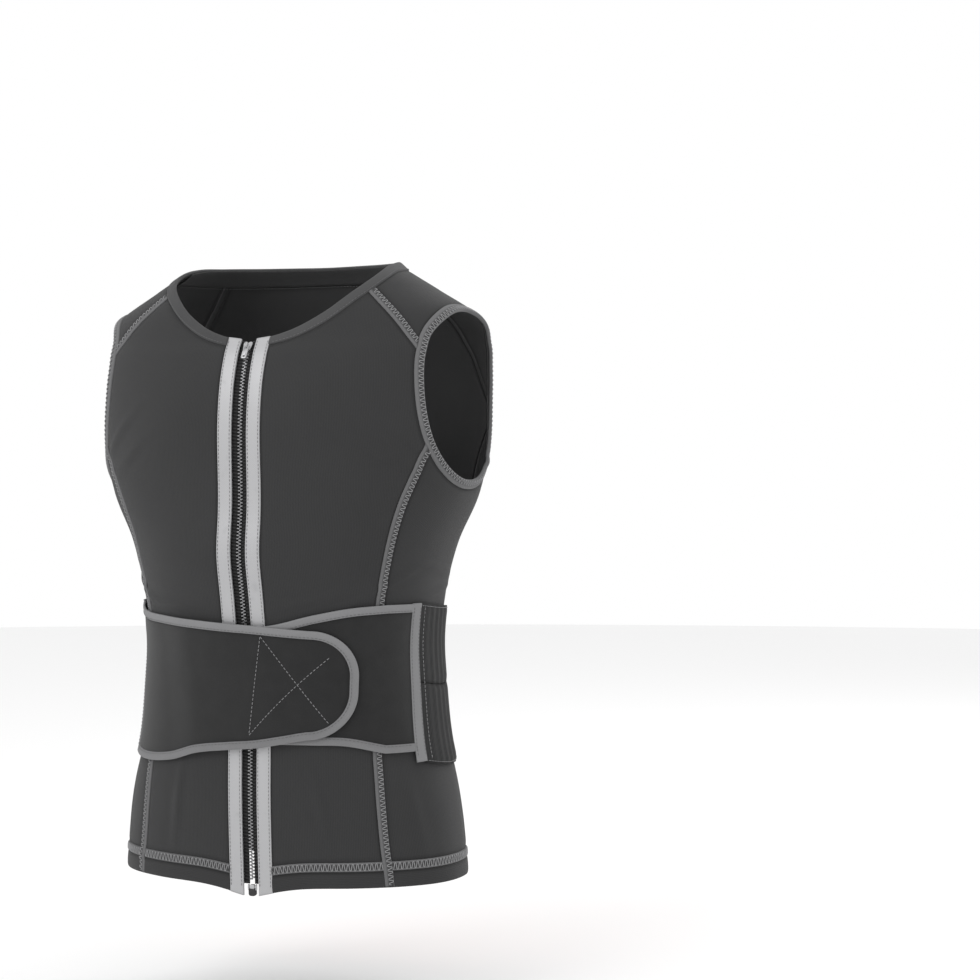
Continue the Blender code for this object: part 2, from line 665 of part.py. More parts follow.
hem_drop = HEM_EDGE[0, 1]
slider_drop = NECK_EDGE[0, 1] + SLIDER_DROP / BACK_LENGTH
box_top_drop = hem_drop - (BOX_LENGTH + ZIP_CLEARANCE) / BACK_LENGTH
box_line = np.array([(0.0, section_at(box_top_drop)), (0.5, section_at(box_top_drop))])
teeth_top = np.array([(0.0, section_at(slider_drop)), (0.5, section_at(slider_drop))])
tape_inner = TOOTH_ROW_PARTING / 2 + TOOTH_ROW_WIDTH + ZIP_CLEARANCE
tape_grid = strip_between(between(zip_line(tape_inner), neck_start, box_line),
                          between(zip_line(tape_inner + TAPE_WIDTH), neck_start, box_line),
                          ZIP_STEPS)
cloth_pair("zip_tape", tape_grid, -TAPE_CLEARANCE - TAPE_THICKNESS, TAPE_THICKNESS, DARK)
teeth_lift = -TAPE_CLEARANCE - TAPE_THICKNESS / 2 - TOOTH_ROW_THICKNESS / 2
teeth_grid = strip_between(
    between(zip_line(TOOTH_ROW_PARTING / 2), teeth_top, box_line),
    between(zip_line(TOOTH_ROW_PARTING / 2 + TOOTH_ROW_WIDTH), teeth_top, box_line),
    TEETH_STEPS)
cloth_pair("zip_teeth", teeth_grid, teeth_lift, TOOTH_ROW_THICKNESS, ZIP_METAL)


def block(name, size, centre, frame, collection=VEST, look=None, bevel=0.0):
    """A box of a given size about a centre in a frame."""
    form = bmesh.new()
    bmesh.ops.create_cube(form, size=1.0)
    bmesh.ops.scale(form, vec=Vector(size), verts=form.verts[:])
    bmesh.ops.translate(form, vec=Vector(centre), verts=form.verts[:])
    mesh = bpy.data.meshes.new(name)
    form.to_mesh(mesh)
    form.free()
    piece = new_object(name, mesh, look, collection)
    piece.matrix_world = frame
    if bevel > 0:
        rounded = piece.modifiers.new("Rounded", "BEVEL")
        rounded.width = bevel
        rounded.segments = 1
    return piece


def rod(name, radius, length, turned, centre, frame, collection=CUTTERS, sides=12):
    """A round rod along a turned axis about a centre in a frame."""
    form = bmesh.new()
    bmesh.ops.create_cone(form, cap_ends=True, segments=sides, radius1=radius,
                          radius2=radius, depth=length,
                          matrix=Matrix.Translation(Vector(centre)) @ turned)
    mesh = bpy.data.meshes.new(name)
    form.to_mesh(mesh)
    form.free()
    piece = new_object(name, mesh, None, collection)
    piece.matrix_world = frame
    return piece


def combine(piece, other, operation):
    """Join another solid to a piece, or cut it out, and keep the other as a hidden guide."""
    step = piece.modifiers.new(operation.title(), "BOOLEAN")
    step.operation = operation
    step.solver = "EXACT"
    step.object = other
    other.hide_render = True
    other.display_type = "WIRE"


slider_frame = zip_frame(slider_drop)
chain_middle = -TAPE_CLEARANCE - TAPE_THICKNESS / 2
plate_gap = TOOTH_ROW_THICKNESS + 2 * PLATE_CLEARANCE
plate_top = chain_middle + plate_gap / 2
slider = block("zip_slider", (SLIDER_WIDTH, SLIDER_LENGTH, SLIDER_PLATE),
               (0, 0, plate_top + SLIDER_PLATE / 2), slider_frame, look=ZIP_METAL)
lower_plate = block("slider_lower_plate", (SLIDER_WIDTH, SLIDER_LENGTH, SLIDER_PLATE),
                    (0, 0, chain_middle - plate_gap / 2 - SLIDER_PLATE / 2), slider_frame,
                    CUTTERS)
post = block("slider_post", (POST_WIDTH, POST_LENGTH, plate_gap + SLIDER_PLATE),
             (0, SLIDER_LENGTH / 2 - POST_LENGTH / 2 - SLIDER_PLATE / 2, chain_middle),
             slider_frame, CUTTERS)
arch_middle = plate_top + SLIDER_PLATE + ARCH_HEIGHT / 2 - SLIDER_PLATE / 4
arch = block("slider_arch", (ARCH_WIDTH, ARCH_LENGTH, ARCH_HEIGHT + SLIDER_PLATE / 2),
             (0, 0, arch_middle), slider_frame, CUTTERS)
window_height = ARCH_HEIGHT - ARCH_WALL
pivot_lift = plate_top + SLIDER_PLATE + window_height / 2
window = block("slider_window", (ARCH_WIDTH * 2, ARCH_LENGTH - 2 * ARCH_WALL, window_height),
               (0, 0, pivot_lift), slider_frame, CUTTERS)
combine(slider, lower_plate, "UNION")
combine(slider, post, "UNION")
combine(slider, arch, "UNION")
combine(slider, window, "DIFFERENCE")

# Pull tab, hinged on the bar under the slider's arch
tab_frame = slider_frame @ Matrix.Translation(Vector((0, 0, pivot_lift)))
across_turn = Matrix.Rotation(math.pi / 2, 4, "Y")
plate_middle = -TAB_ARM_LENGTH - TAB_LENGTH / 2
tab = block("zip_pull_tab", (TAB_WIDTH, TAB_LENGTH, TAB_THICKNESS), (0, plate_middle, 0),
            tab_frame, look=ZIP_METAL)
arm_centre = (TAB_WIDTH - TAB_ARM_WIDTH) / 2
arm_size = (TAB_ARM_WIDTH, TAB_ARM_LENGTH + TAB_PIN_RADIUS + TAB_THICKNESS, TAB_THICKNESS)
arm_shift = (TAB_PIN_RADIUS - TAB_ARM_LENGTH - TAB_THICKNESS) / 2
for side, word in ((1, "left"), (-1, "right")):
    arm = block("tab_arm_" + word, arm_size, (side * arm_centre, arm_shift, 0), tab_frame,
                CUTTERS)
    combine(tab, arm, "UNION")
bar = rod("tab_bar", TAB_PIN_RADIUS * 0.8, TAB_WIDTH - TAB_ARM_WIDTH, across_turn, (0, 0, 0),
          tab_frame, sides=8)
combine(tab, bar, "UNION")
hole = rod("tab_hole", TAB_HOLE_RADIUS, TAB_THICKNESS * 3, Matrix.Identity(4),
           (0, plate_middle - TAB_LENGTH / 2 + 3 * TAB_HOLE_RADIUS, 0), tab_frame)
combine(tab, hole, "DIFFERENCE")

# Box that holds the bottom of the chain
box_frame = zip_frame(hem_drop - BOX_LENGTH / 2 / BACK_LENGTH)
block("zip_bottom_box", (BOX_WIDTH, BOX_LENGTH, BOX_THICKNESS), (0, 0, chain_middle), box_frame,
      look=ZIP_METAL, bevel=BOX_THICKNESS * 0.12)

# Kidney belt, laid over the panels and their seams
belt_lift = SEAM_THICKNESS + BELT_CLEARANCE
BELT_STEP = math.radians(7.5)
WING_STEPS = 14
WING_ROWS = 5


def belt_grid(start, end, top_share, bottom_share, top_inset, bottom_inset, rows,
              start_inset=0.0, end_inset=0.0):
    """Rows of the belt between two angles, and between two shares of its height."""
    ends = np.array([start, end])
    degrees = np.degrees(ends)
    middle = section_at((table_curve(BELT_EDGES[:, :2], degrees)
                         + table_curve(BELT_EDGES[:, [0, 2]], degrees)) / 2)
    radius = np.linalg.norm(torso(ends, middle)[:, :2], axis=1)
    first, last = start + start_inset / radius[0], end - end_inset / radius[1]
    angles = np.linspace(first, last, max(1, math.ceil((last - first) / BELT_STEP)) + 1)
    degrees = np.degrees(angles)
    top = table_curve(BELT_EDGES[:, :2], degrees) * BACK_LENGTH
    bottom = table_curve(BELT_EDGES[:, [0, 2]], degrees) * BACK_LENGTH
    high = top + (bottom - top) * top_share + top_inset
    low = top + (bottom - top) * bottom_share - bottom_inset
    share = np.linspace(0, 1, rows + 1)[:, None]
    drop = (high + (low - high) * share) / BACK_LENGTH
    return np.stack([np.broadcast_to(angles, drop.shape), section_at(drop)], -1)


half_front, half_back = FRONT_STRIP_WIDTH / 2, BACK_STRIP_WIDTH / 2
binding_gap = BELT_BINDING + JOIN_GAP
cloth("belt_back", belt_grid(BACK_STRIP_ANGLE, math.pi, 0, 1, binding_gap, binding_gap, 4,
                             start_inset=half_back + JOIN_GAP), belt_lift,
      BELT_THICKNESS, BELT_FABRIC, whole=True)
top_row = belt_grid(BACK_STRIP_ANGLE, math.pi, 0, 0, 0.0, -BELT_BINDING, 1,
                    start_inset=half_back + JOIN_GAP)
bottom_row = belt_grid(BACK_STRIP_ANGLE, math.pi, 1, 1, -BELT_BINDING, 0.0, 1,
                       start_inset=half_back + JOIN_GAP)
cloth("belt_back_binding_top", top_row, belt_lift, BELT_BINDING_THICKNESS, GREY_BINDING,
      whole=True)
cloth("belt_back_binding_bottom", bottom_row, belt_lift, BELT_BINDING_THICKNESS, GREY_BINDING,
      whole=True)
for angle, half, name in ((FRONT_STRIP_ANGLE, half_front, "belt_front_strip"),
                          (BACK_STRIP_ANGLE, half_back, "belt_back_strip")):
    cloth_pair(name, belt_grid(angle, angle, 0, 1, 0.0, 0.0, 5, -half, -half), belt_lift,
               BELT_BINDING_THICKNESS, REFLECTIVE)
side_ends = (half_front + JOIN_GAP, half_back + JOIN_GAP)
cloth_pair("belt_elastic_upper", belt_grid(FRONT_STRIP_ANGLE, BACK_STRIP_ANGLE, 0, 0.5, 0.0,
                                           JOIN_GAP / 2, 2, *side_ends),
           belt_lift, BELT_THICKNESS, BELT_FABRIC)
cloth_pair("belt_elastic_lower", belt_grid(FRONT_STRIP_ANGLE, BACK_STRIP_ANGLE, 0.5, 1,
                                           JOIN_GAP / 2, 0.0, 2, *side_ends),
           belt_lift, BELT_THICKNESS, BELT_FABRIC)


def wing_outline(edges, reach, count=60):
    """Outline of a belt wing: along its top, round its end and back along its bottom."""
    middle_drop = table_curve(edges[:, :2], np.zeros(1))[0] + \
        table_curve(edges[:, [0, 2]], np.zeros(1))[0]
    at_end = torso(reach, section_at(middle_drop / 2))
    radius = float(np.linalg.norm(at_end[:2]))
    corner = WING_CORNER / radius
    along = np.linspace(-FRONT_STRIP_ANGLE - 0.02, reach - corner, count)
    turn = np.linspace(0, math.pi / 2, 20)[1:]
    degrees = np.degrees(along)
    top = table_curve(edges[:, :2], degrees) * BACK_LENGTH
    bottom = table_curve(edges[:, [0, 2]], degrees) * BACK_LENGTH
    bend = reach - corner + corner * np.sin(turn)
    high = top[-1] + WING_CORNER * (1 - np.cos(turn))
    low = bottom[-1] - WING_CORNER * (1 - np.cos(turn))
    upper = np.stack([np.concatenate([along, bend]), np.concatenate([top, high])], -1)
    lower = np.stack([np.concatenate([along, bend]), np.concatenate([bottom, low])], -1)
    closing = np.linspace(upper[-1], lower[-1], 12)[1:-1]
    outline = np.vstack([upper, closing, lower[::-1]])
    outline[:, 1] = section_at(outline[:, 1] / BACK_LENGTH)
    return outline


def wing_lift(angle, over):
    """Lift of a wing: the right one climbs over the end of the left one."""
    if not over:
        return np.full(angle.shape, belt_lift)
    climb = np.clip((angle + LEFT_WING_REACH + math.radians(24)) / math.radians(18), 0, 1)
    rise = BELT_BINDING_THICKNESS + WING_CLEARANCE
    return belt_lift + rise * climb * climb * (3 - 2 * climb)


def build_wing(word, edges, reach, over, mirrored):
    """One belt wing and the binding round its edge."""
    outline = wing_outline(edges, reach)
    root_angle = -FRONT_STRIP_ANGLE + (half_front + JOIN_GAP) / np.hypot(*torso(
        FRONT_STRIP_ANGLE, section_at(edges[0, 1:].mean()))[:2])
    root = np.stack([np.full(201, root_angle), middle_back[:, 1]], -1)
    inner = between(moved_sideways(outline, BELT_BINDING), root, root)
    inset = between(moved_sideways(outline, BELT_BINDING + WING_GAP), root, root)
    outline = between(outline, root, root)
    nose = int(np.argmax(outline[:, 0] > outline[:, 0].max() - 0.16))

    def three_runs(line, end_steps):
        """The top run, the rounded end and the bottom run of a line round the wing."""
        return (evenly(line[:nose + 1], WING_STEPS),
                evenly(line[nose:len(line) - nose], end_steps),
                evenly(line[len(line) - nose - 1:], WING_STEPS))

    band = np.stack([chained(*three_runs(outline, 2 * WING_ROWS)),
                     chained(*three_runs(inner, 2 * WING_ROWS))], 1)
    cloth("belt_binding_" + word, band, wing_lift(band[..., 0], over), BELT_BINDING_THICKNESS,
          GREY_BINDING, mirrored=mirrored)
    top, front_end, bottom = three_runs(inset, WING_ROWS)
    bottom = bottom[::-1]
    back_end = evenly(np.linspace(top[0], bottom[0], 9), WING_ROWS)
    grid = patch(back_end, front_end, top, bottom)
    cloth("belt_wing_" + word, grid, wing_lift(grid[..., 0], over), BELT_THICKNESS,
          BELT_FABRIC, mirrored=mirrored)


left_edges = BELT_EDGES[BELT_EDGES[:, 0] <= 62] * np.array([-1.0, 1.0, 1.0])
left_edges = left_edges[::-1]
build_wing("right", RIGHT_WING_EDGES, RIGHT_WING_REACH, True, False)
build_wing("left", left_edges, LEFT_WING_REACH, False, True)


# Back protector: a ridged main plate, and a vented tail plate under its lower end
def plate_mesh(name, inner, outer):
    """A closed plate between two rows-and-columns surfaces with the same outline."""
    rows, columns = inner.shape[0] - 1, inner.shape[1] - 1
    form = bmesh.new()
    sheets = []
    for points in (inner, outer):
        made = bmesh.ops.create_grid(form, x_segments=columns, y_segments=rows, size=0.5)
        table = {}
        for vertex in made["verts"]:
            key = (round((vertex.co.y + 0.5) * rows), round((vertex.co.x + 0.5) * columns))
            table[key] = vertex
        for (row, column), vertex in table.items():
            vertex.co = Vector(points[row, column])
        sheets.append(table)
    rim = ([(0, c) for c in range(columns)] + [(r, columns) for r in range(rows)]
           + [(rows, c) for c in range(columns, 0, -1)] + [(r, 0) for r in range(rows, 0, -1)])
    for place, following in zip(rim, rim[1:] + rim[:1]):
        form.faces.new((sheets[0][place], sheets[0][following], sheets[1][following],
                        sheets[1][place]))
    bmesh.ops.recalc_face_normals(form, faces=form.faces[:])
    mesh = bpy.data.meshes.new(name)
    form.to_mesh(mesh)
    form.free()
    return mesh


def plate_grid(outline, drop, length, width, rows, columns, wave):
    """Places of a plate on the back: rows down it, columns across, with a wave in the rows."""
    share = np.linspace(0, 1, rows + 1)[:, None]
    across = np.linspace(-1, 1, columns + 1)[None]
    calm = np.clip(np.minimum(share, 1 - share) * 12, 0, 1) * (1 - across**4)
    down = drop + length * share + wave * np.cos(3 * math.pi * across) * calm
    half = width * table_curve(outline, share[:, 0])[:, None]
    section = section_at(down / BACK_LENGTH)
    offset = half * across
    flat_section = section.ravel()
    angle = angle_at(flat_section, np.abs(offset).ravel(), 0, 90, 180).reshape(section.shape)
    angle = np.where(np.abs(offset) < 1e-9, math.pi, angle)
    angle = np.where(offset < 0, 2 * math.pi - angle, angle)
    return np.stack([angle, section], -1), np.broadcast_to(share, angle.shape), \
        np.broadcast_to(across, angle.shape)


belt_top = belt_lift + BELT_BINDING_THICKNESS
tail_lift = belt_top + TAIL_CLEARANCE
panel_rest = CLOTH_THICKNESS + PROTECTOR_CLEARANCE
pocket_rest = pocket_lift + POCKET_BAND_THICKNESS + PROTECTOR_CLEARANCE
belt_rest = belt_top + PROTECTOR_CLEARANCE
tail_rest = tail_lift + TAIL_THICKNESS + PROTECTOR_CLEARANCE
belt_start = BELT_EDGES[-1, 1] * BACK_LENGTH
plate_rows = 2 * round(PROTECTOR_LENGTH / RIDGE_PITCH)
plate, plate_share, plate_across = plate_grid(PROTECTOR_OUTLINE, PROTECTOR_DROP,
                                              PROTECTOR_LENGTH, PROTECTOR_WIDTH,
                                              plate_rows, 8, RIDGE_WAVE)
plate_drop = PROTECTOR_DROP + PROTECTOR_LENGTH * plate_share
rest = np.interp(plate_drop,
                 [POCKET_BAND_DROP + POCKET_BAND_WIDTH, POCKET_BAND_DROP + 0.030,
                  belt_start - 0.060, belt_start - 0.024, TAIL_DROP - 0.020,
                  TAIL_DROP - 0.005],
                 [pocket_rest, panel_rest, panel_rest, belt_rest, belt_rest, tail_rest])
crown = (1 - np.abs(plate_across)**3) * np.clip(np.minimum(plate_share, 1 - plate_share) * 14,
                                               0, 1)**0.6
ridge = np.where(np.arange(plate_rows + 1)[:, None] % 2 == 1, 1.0, -1.0) * (crown > 0.05)
body_thickness = PROTECTOR_EDGE + (PROTECTOR_THICKNESS - PROTECTOR_EDGE) * crown
body_thickness = body_thickness - np.interp(plate_drop, [belt_start, TAIL_DROP], [0, 0.0035]) \
    * crown
outer = lifted(plate, rest + body_thickness + RIDGE_HEIGHT / 2 * ridge)
protector = new_object("back_protector", plate_mesh("back_protector", lifted(plate, rest),
                                                    outer), ORANGE)

tail, tail_share, tail_across = plate_grid(TAIL_OUTLINE, TAIL_DROP, TAIL_LENGTH, TAIL_WIDTH,
                                           8, 4, 0.0)
tail_base = np.full(tail_share.shape, tail_lift)
tail_plate = new_object("tail_protector", plate_mesh("tail_protector", lifted(tail, tail_base),
                                                     lifted(tail, tail_base + TAIL_THICKNESS)),
                        ORANGE)
punch_form = bmesh.new()
for across_share, down_share in TAIL_HOLES:
    for side in ((1, -1) if across_share > 0 else (1,)):
        hole_drop = TAIL_DROP + TAIL_LENGTH * down_share
        centre = Vector((side * across_share * TAIL_WIDTH, CHEST_DEPTH * 0.46,
                         -hole_drop))
        lay = Matrix.Translation(centre) @ Matrix.Rotation(math.pi / 2, 4, "X")
        bmesh.ops.create_cone(punch_form, cap_ends=True, segments=HOLE_SIDES,
                              radius1=TAIL_HOLE_RADIUS, radius2=TAIL_HOLE_RADIUS,
                              depth=CHEST_DEPTH * 0.3, matrix=lay)
punch_mesh = bpy.data.meshes.new("tail_punch")
punch_form.to_mesh(punch_mesh)
punch_form.free()
punch = new_object("tail_punch", punch_mesh, None, CUTTERS)
combine(tail_plate, punch, "DIFFERENCE")
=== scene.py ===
"""Looks of the motorcycle armour vest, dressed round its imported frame.

Units are metres, +Z is up, the vest faces -Y and the wearer's left is +X. Cloth pieces are laid
on one torso surface. A spot on it is a pair: the angle round the body, 0 at the front centre and
180 degrees at the back centre, and a section number down the body. Lifts are heights above it.
"""

import math

import bpy
import numpy as np
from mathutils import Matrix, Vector


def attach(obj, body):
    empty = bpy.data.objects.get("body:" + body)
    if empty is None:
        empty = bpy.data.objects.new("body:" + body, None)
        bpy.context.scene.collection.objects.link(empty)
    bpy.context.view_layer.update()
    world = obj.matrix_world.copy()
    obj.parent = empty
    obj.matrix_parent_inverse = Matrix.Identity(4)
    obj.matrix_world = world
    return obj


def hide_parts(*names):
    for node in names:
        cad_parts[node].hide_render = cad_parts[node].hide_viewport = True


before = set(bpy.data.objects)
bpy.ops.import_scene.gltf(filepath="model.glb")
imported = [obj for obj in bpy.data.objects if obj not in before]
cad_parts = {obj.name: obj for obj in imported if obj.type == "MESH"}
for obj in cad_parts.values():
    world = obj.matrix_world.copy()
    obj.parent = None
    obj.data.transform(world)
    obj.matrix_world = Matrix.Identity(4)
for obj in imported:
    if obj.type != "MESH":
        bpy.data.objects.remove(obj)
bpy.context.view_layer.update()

# Sizes of the vest, as in the part's source
BACK_LENGTH = 0.640
CHEST_WIDTH = 0.418
CHEST_DEPTH = 0.267
CHEST_SWELL = 0.006
BELLY_SWELL = 0.006
CLOTH = 0.0025
SEAM = 0.0032
SEAM_WIDTH = 0.0090
EDGE = 0.0038
ARMHOLE_HEIGHT = 0.169
ARMHOLE_DEPTH = 0.145
ARMHOLE_DROP = 0.1315
ARMHOLE_FORWARD = 0.0105
ARMHOLE_BINDING = 0.0100
NECK_BINDING = 0.0110
HEM_TURN = 0.0200
FACING_DEPTH = 0.0160
POCKET_BAND_WIDTH = 0.0090
POCKET_BAND_DROP = 0.030
POCKET_BAND_LENGTH = 0.250

# Sizes of the zip
ZIP_HALF_GAP = 0.0082
STRIP_WIDTH = 0.0150
TAPE_THICKNESS = 0.0008
TAPE_CLEARANCE = 0.0008
TOOTH_PITCH = 0.0034
SLIDER_WIDTH = 0.0104
SLIDER_LENGTH = 0.0110
SLIDER_PLATE = 0.0011
SLIDER_DROP = 0.0065
PLATE_GAP = 0.0048
ARCH_HEIGHT = 0.0036
ARCH_LENGTH = 0.0062
ARCH_WALL = 0.0010
BOX_WIDTH = 0.0110
BOX_LENGTH = 0.0120
BOX_THICKNESS = 0.0048
TAB_WIDTH = 0.0056
TAB_LENGTH = 0.0110
TAB_ARM_LENGTH = 0.0050
TAB_THICKNESS = 0.0010
TAB_HOLE_RADIUS = 0.0009

# Sizes of the belt
BELT_THICKNESS = 0.0024
BELT_LIFT = SEAM + 0.0011
BELT_BINDING = 0.0085
BINDING_THICKNESS = 0.0028
FRONT_STRIP_ANGLE = math.radians(74.0)
FRONT_STRIP_WIDTH = 0.0130
BACK_STRIP_ANGLE = math.radians(118.5)
BACK_STRIP_WIDTH = 0.0120
RIGHT_WING_REACH = math.radians(49.8)
LEFT_WING_REACH = math.radians(20.0)
WING_RISE = BINDING_THICKNESS + 0.0009
WING_CORNER = 0.047

# Sizes of the protector
PROTECTOR_LENGTH = 0.463
PROTECTOR_DROP = 0.022
PROTECTOR_WIDTH = 0.300
PROTECTOR_THICKNESS = 0.0120
PROTECTOR_EDGE = 0.0060
PROTECTOR_CLEARANCE = 0.0016
RIDGES = 60
RIDGE_HEIGHT = 0.0013
RIDGE_WAVE = 0.0060
TAIL_LENGTH = 0.148
TAIL_DROP = 0.440
TAIL_WIDTH = 0.122
TAIL_THICKNESS = 0.0052
TAIL_CLEARANCE = 0.0010
TAIL_HOLE_RADIUS = 0.0038

# Torso sections. Drop is a share of the back length; half width is a share of the chest
# width; front and back are shares of the chest depth; squareness is the curve's exponent
DROP, HALF_WIDTH, FRONT, BACK, SQUARENESS = range(5)
SECTIONS = np.array([
    (-0.022, 0.248, 0.238, 0.278, 2.20),
    (0.000, 0.280, 0.286, 0.325, 2.20),
    (0.035, 0.366, 0.325, 0.357, 2.25),
    (0.079, 0.470, 0.369, 0.401, 2.30),
    (0.118, 0.495, 0.413, 0.437, 2.35),
    (0.148, 0.500, 0.452, 0.464, 2.35),
    (0.195, 0.500, 0.484, 0.484, 2.35),
    (0.266, 0.490, 0.500, 0.496, 2.35),
    (0.358, 0.459, 0.500, 0.496, 2.30),
    (0.436, 0.403, 0.496, 0.480, 2.30),
    (0.514, 0.371, 0.484, 0.456, 2.30),
    (0.592, 0.358, 0.456, 0.433, 2.30),
    (0.670, 0.366, 0.433, 0.417, 2.30),
    (0.748, 0.380, 0.417, 0.405, 2.30),
    (0.827, 0.407, 0.417, 0.401, 2.30),
    (0.905, 0.425, 0.409, 0.401, 2.30),
    (0.984, 0.438, 0.397, 0.401, 2.30),
    (1.040, 0.441, 0.396, 0.401, 2.30),
])

# Neck edge and hem edge: angle in degrees, drop as a share of the back length
NECK_EDGE = np.array([
    (0, 0.122), (12, 0.117), (25, 0.103), (38, 0.079), (52, 0.045), (64, 0.020),
    (75, 0.003), (90, -0.009), (110, -0.015), (140, -0.018), (180, -0.018),
])
HEM_EDGE = np.array([
    (0, 0.990), (6, 0.988), (14, 0.982), (25, 0.976), (50, 0.972), (90, 0.970), (180, 0.975),
])

# Shoulder seams: drop as a share of the back length, angle in degrees
FRONT_SHOULDER = np.array([
    (0.010, 57.0), (0.048, 59.3), (0.070, 60.7), (0.092, 62.2), (0.128, 64.6), (0.145, 65.9),
    (0.190, 71.0),
])
BACK_SHOULDER = np.array([
    (-0.021, 115.0), (0.000, 116.0), (0.046, 118.2), (0.072, 118.6), (0.129, 117.0),
    (0.186, 113.0), (0.235, 105.0),
])

# Long seams: drop as a share of the back length, distance from the middle as a share of
# the chest width
FRONT_PRINCESS = np.array([
    (0.240, 0.460), (0.290, 0.422), (0.337, 0.392), (0.380, 0.364), (0.424, 0.340),
    (0.470, 0.322), (0.534, 0.303), (0.650, 0.292), (0.769, 0.296), (0.805, 0.302),
    (0.854, 0.309), (0.903, 0.316), (0.948, 0.324), (1.010, 0.333),
])
BACK_PRINCESS = np.array([
    (0.225, 0.480), (0.255, 0.452), (0.281, 0.430), (0.340, 0.400), (0.404, 0.366),
    (0.470, 0.325), (0.535, 0.283), (0.569, 0.261), (0.635, 0.237), (0.706, 0.220),
    (0.819, 0.196), (0.888, 0.203), (0.966, 0.218), (1.010, 0.225),
])

# Kidney belt edges: angle in degrees, drop of the top edge and of the bottom edge
BELT_EDGES = np.array([
    (-30, 0.566, 0.751), (0, 0.566, 0.751), (13, 0.563, 0.750), (32, 0.546, 0.750),
    (46, 0.536, 0.752), (60, 0.532, 0.765), (74, 0.531, 0.782), (90, 0.537, 0.793),
    (118, 0.543, 0.790), (140, 0.556, 0.817), (160, 0.562, 0.832), (180, 0.563, 0.834),
])
RIGHT_WING_EDGES = np.array([
    (-74, 0.531, 0.782), (-60, 0.545, 0.788), (-43, 0.551, 0.783), (-28, 0.554, 0.768),
    (-9, 0.559, 0.760), (5, 0.562, 0.756), (18, 0.566, 0.749), (31, 0.570, 0.741),
    (60, 0.575, 0.735),
])

# Box of crossed stitching on the belt's right wing: angle in degrees, drop
STITCH_TOP = (9.5, 0.5785)
STITCH_BOTTOM = (2.0, 0.7350)
STITCH_HIGH_END = (40.2, 0.606)
STITCH_LOW_END = (40.0, 0.7190)

# Protector outlines, down from the top: share of the length, half width as a share of the
# full width
PROTECTOR_OUTLINE = np.array([
    (0.000, 0.190), (0.030, 0.290), (0.085, 0.335), (0.138, 0.342), (0.190, 0.390),
    (0.255, 0.465), (0.340, 0.500), (0.425, 0.487), (0.515, 0.433), (0.600, 0.372),
    (0.690, 0.352), (0.795, 0.356), (0.880, 0.327), (0.945, 0.262), (1.000, 0.140),
])
TAIL_OUTLINE = np.array([
    (0.000, 0.410), (0.200, 0.490), (0.405, 0.500), (0.600, 0.467), (0.770, 0.393),
    (0.905, 0.270), (1.000, 0.120),
])
# Vent holes: distance from the middle as a share of the width, distance from the top as a
# share of the length
TAIL_HOLES = [
    (0.350, 0.400), (0.355, 0.540), (0.325, 0.670), (0.262, 0.785), (0.120, 0.925),
    (0.000, 0.625), (0.000, 0.735), (0.000, 0.850),
]
PLATE_VENTS = [(-0.115, 0.120), (0.035, 0.060), (0.070, 0.120), (0.100, 0.175),
               (0.115, 0.228), (-0.235, 0.240)]
VENT_RADIUS = 0.0026

# Soft folds of the cloth: angle and drop of the middle, heading from level in degrees,
# length, width and height in metres
FOLDS = np.array([
    (-62, 0.505, 24, 0.040, 0.0060, 0.0014),
    (-55, 0.522, 12, 0.050, 0.0050, 0.0012),
    (-34, 0.530, 4, 0.060, 0.0055, 0.0010),
    (30, 0.525, -8, 0.050, 0.0055, 0.0010),
    (58, 0.505, -22, 0.050, 0.0060, 0.0014),
    (88, 0.480, 10, 0.050, 0.0070, 0.0014),
    (92, 0.515, -6, 0.055, 0.0060, 0.0013),
    (-90, 0.485, -8, 0.050, 0.0070, 0.0014),
    (-94, 0.518, 8, 0.055, 0.0060, 0.0013),
    (58, 0.270, 38, 0.045, 0.0075, 0.0015),
    (52, 0.300, 30, 0.040, 0.0070, 0.0012),
    (-58, 0.275, -38, 0.045, 0.0075, 0.0015),
    (-52, 0.305, -30, 0.040, 0.0070, 0.0012),
    (108, 0.320, 30, 0.045, 0.0080, 0.0013),
    (-108, 0.325, -30, 0.045, 0.0080, 0.0013),
    (36, 0.855, 78, 0.040, 0.0100, 0.0014),
    (-40, 0.850, -76, 0.040, 0.0100, 0.0014),
    (70, 0.870, 84, 0.045, 0.0110, 0.0014),
    (-76, 0.865, -86, 0.045, 0.0110, 0.0014),
    (104, 0.880, 96, 0.045, 0.0110, 0.0013),
    (-104, 0.885, -94, 0.045, 0.0110, 0.0013),
    (150, 0.900, 86, 0.040, 0.0120, 0.0012),
    (-150, 0.905, -84, 0.040, 0.0120, 0.0012),
    (128, 0.460, -20, 0.045, 0.0070, 0.0012),
    (-128, 0.465, 20, 0.045, 0.0070, 0.0012),
])


# The torso surface and lines on it
def smooth_column(column, section):
    """One column of the section table on a smooth cubic curve through its rows."""
    values = SECTIONS[:, column]
    last = len(values) - 1
    section = np.clip(section, 0, last)
    row = np.clip(np.floor(section).astype(int), 0, last - 1)
    t = section - row
    start, end = values[row], values[row + 1]
    start_slope = (end - values[np.maximum(row - 1, 0)]) / 2
    end_slope = (values[np.minimum(row + 2, last)] - start) / 2
    return ((2 * t**3 - 3 * t**2 + 1) * start + (t**3 - 2 * t**2 + t) * start_slope
            + (3 * t**2 - 2 * t**3) * end + (t**3 - t**2) * end_slope)


FINE_SECTIONS = np.linspace(0, len(SECTIONS) - 1, 1201)
FINE_DROPS = smooth_column(DROP, FINE_SECTIONS)


def section_at(drop):
    """Section number at a drop below the shoulder, given as a share of the back length."""
    return np.interp(drop, FINE_DROPS, FINE_SECTIONS)


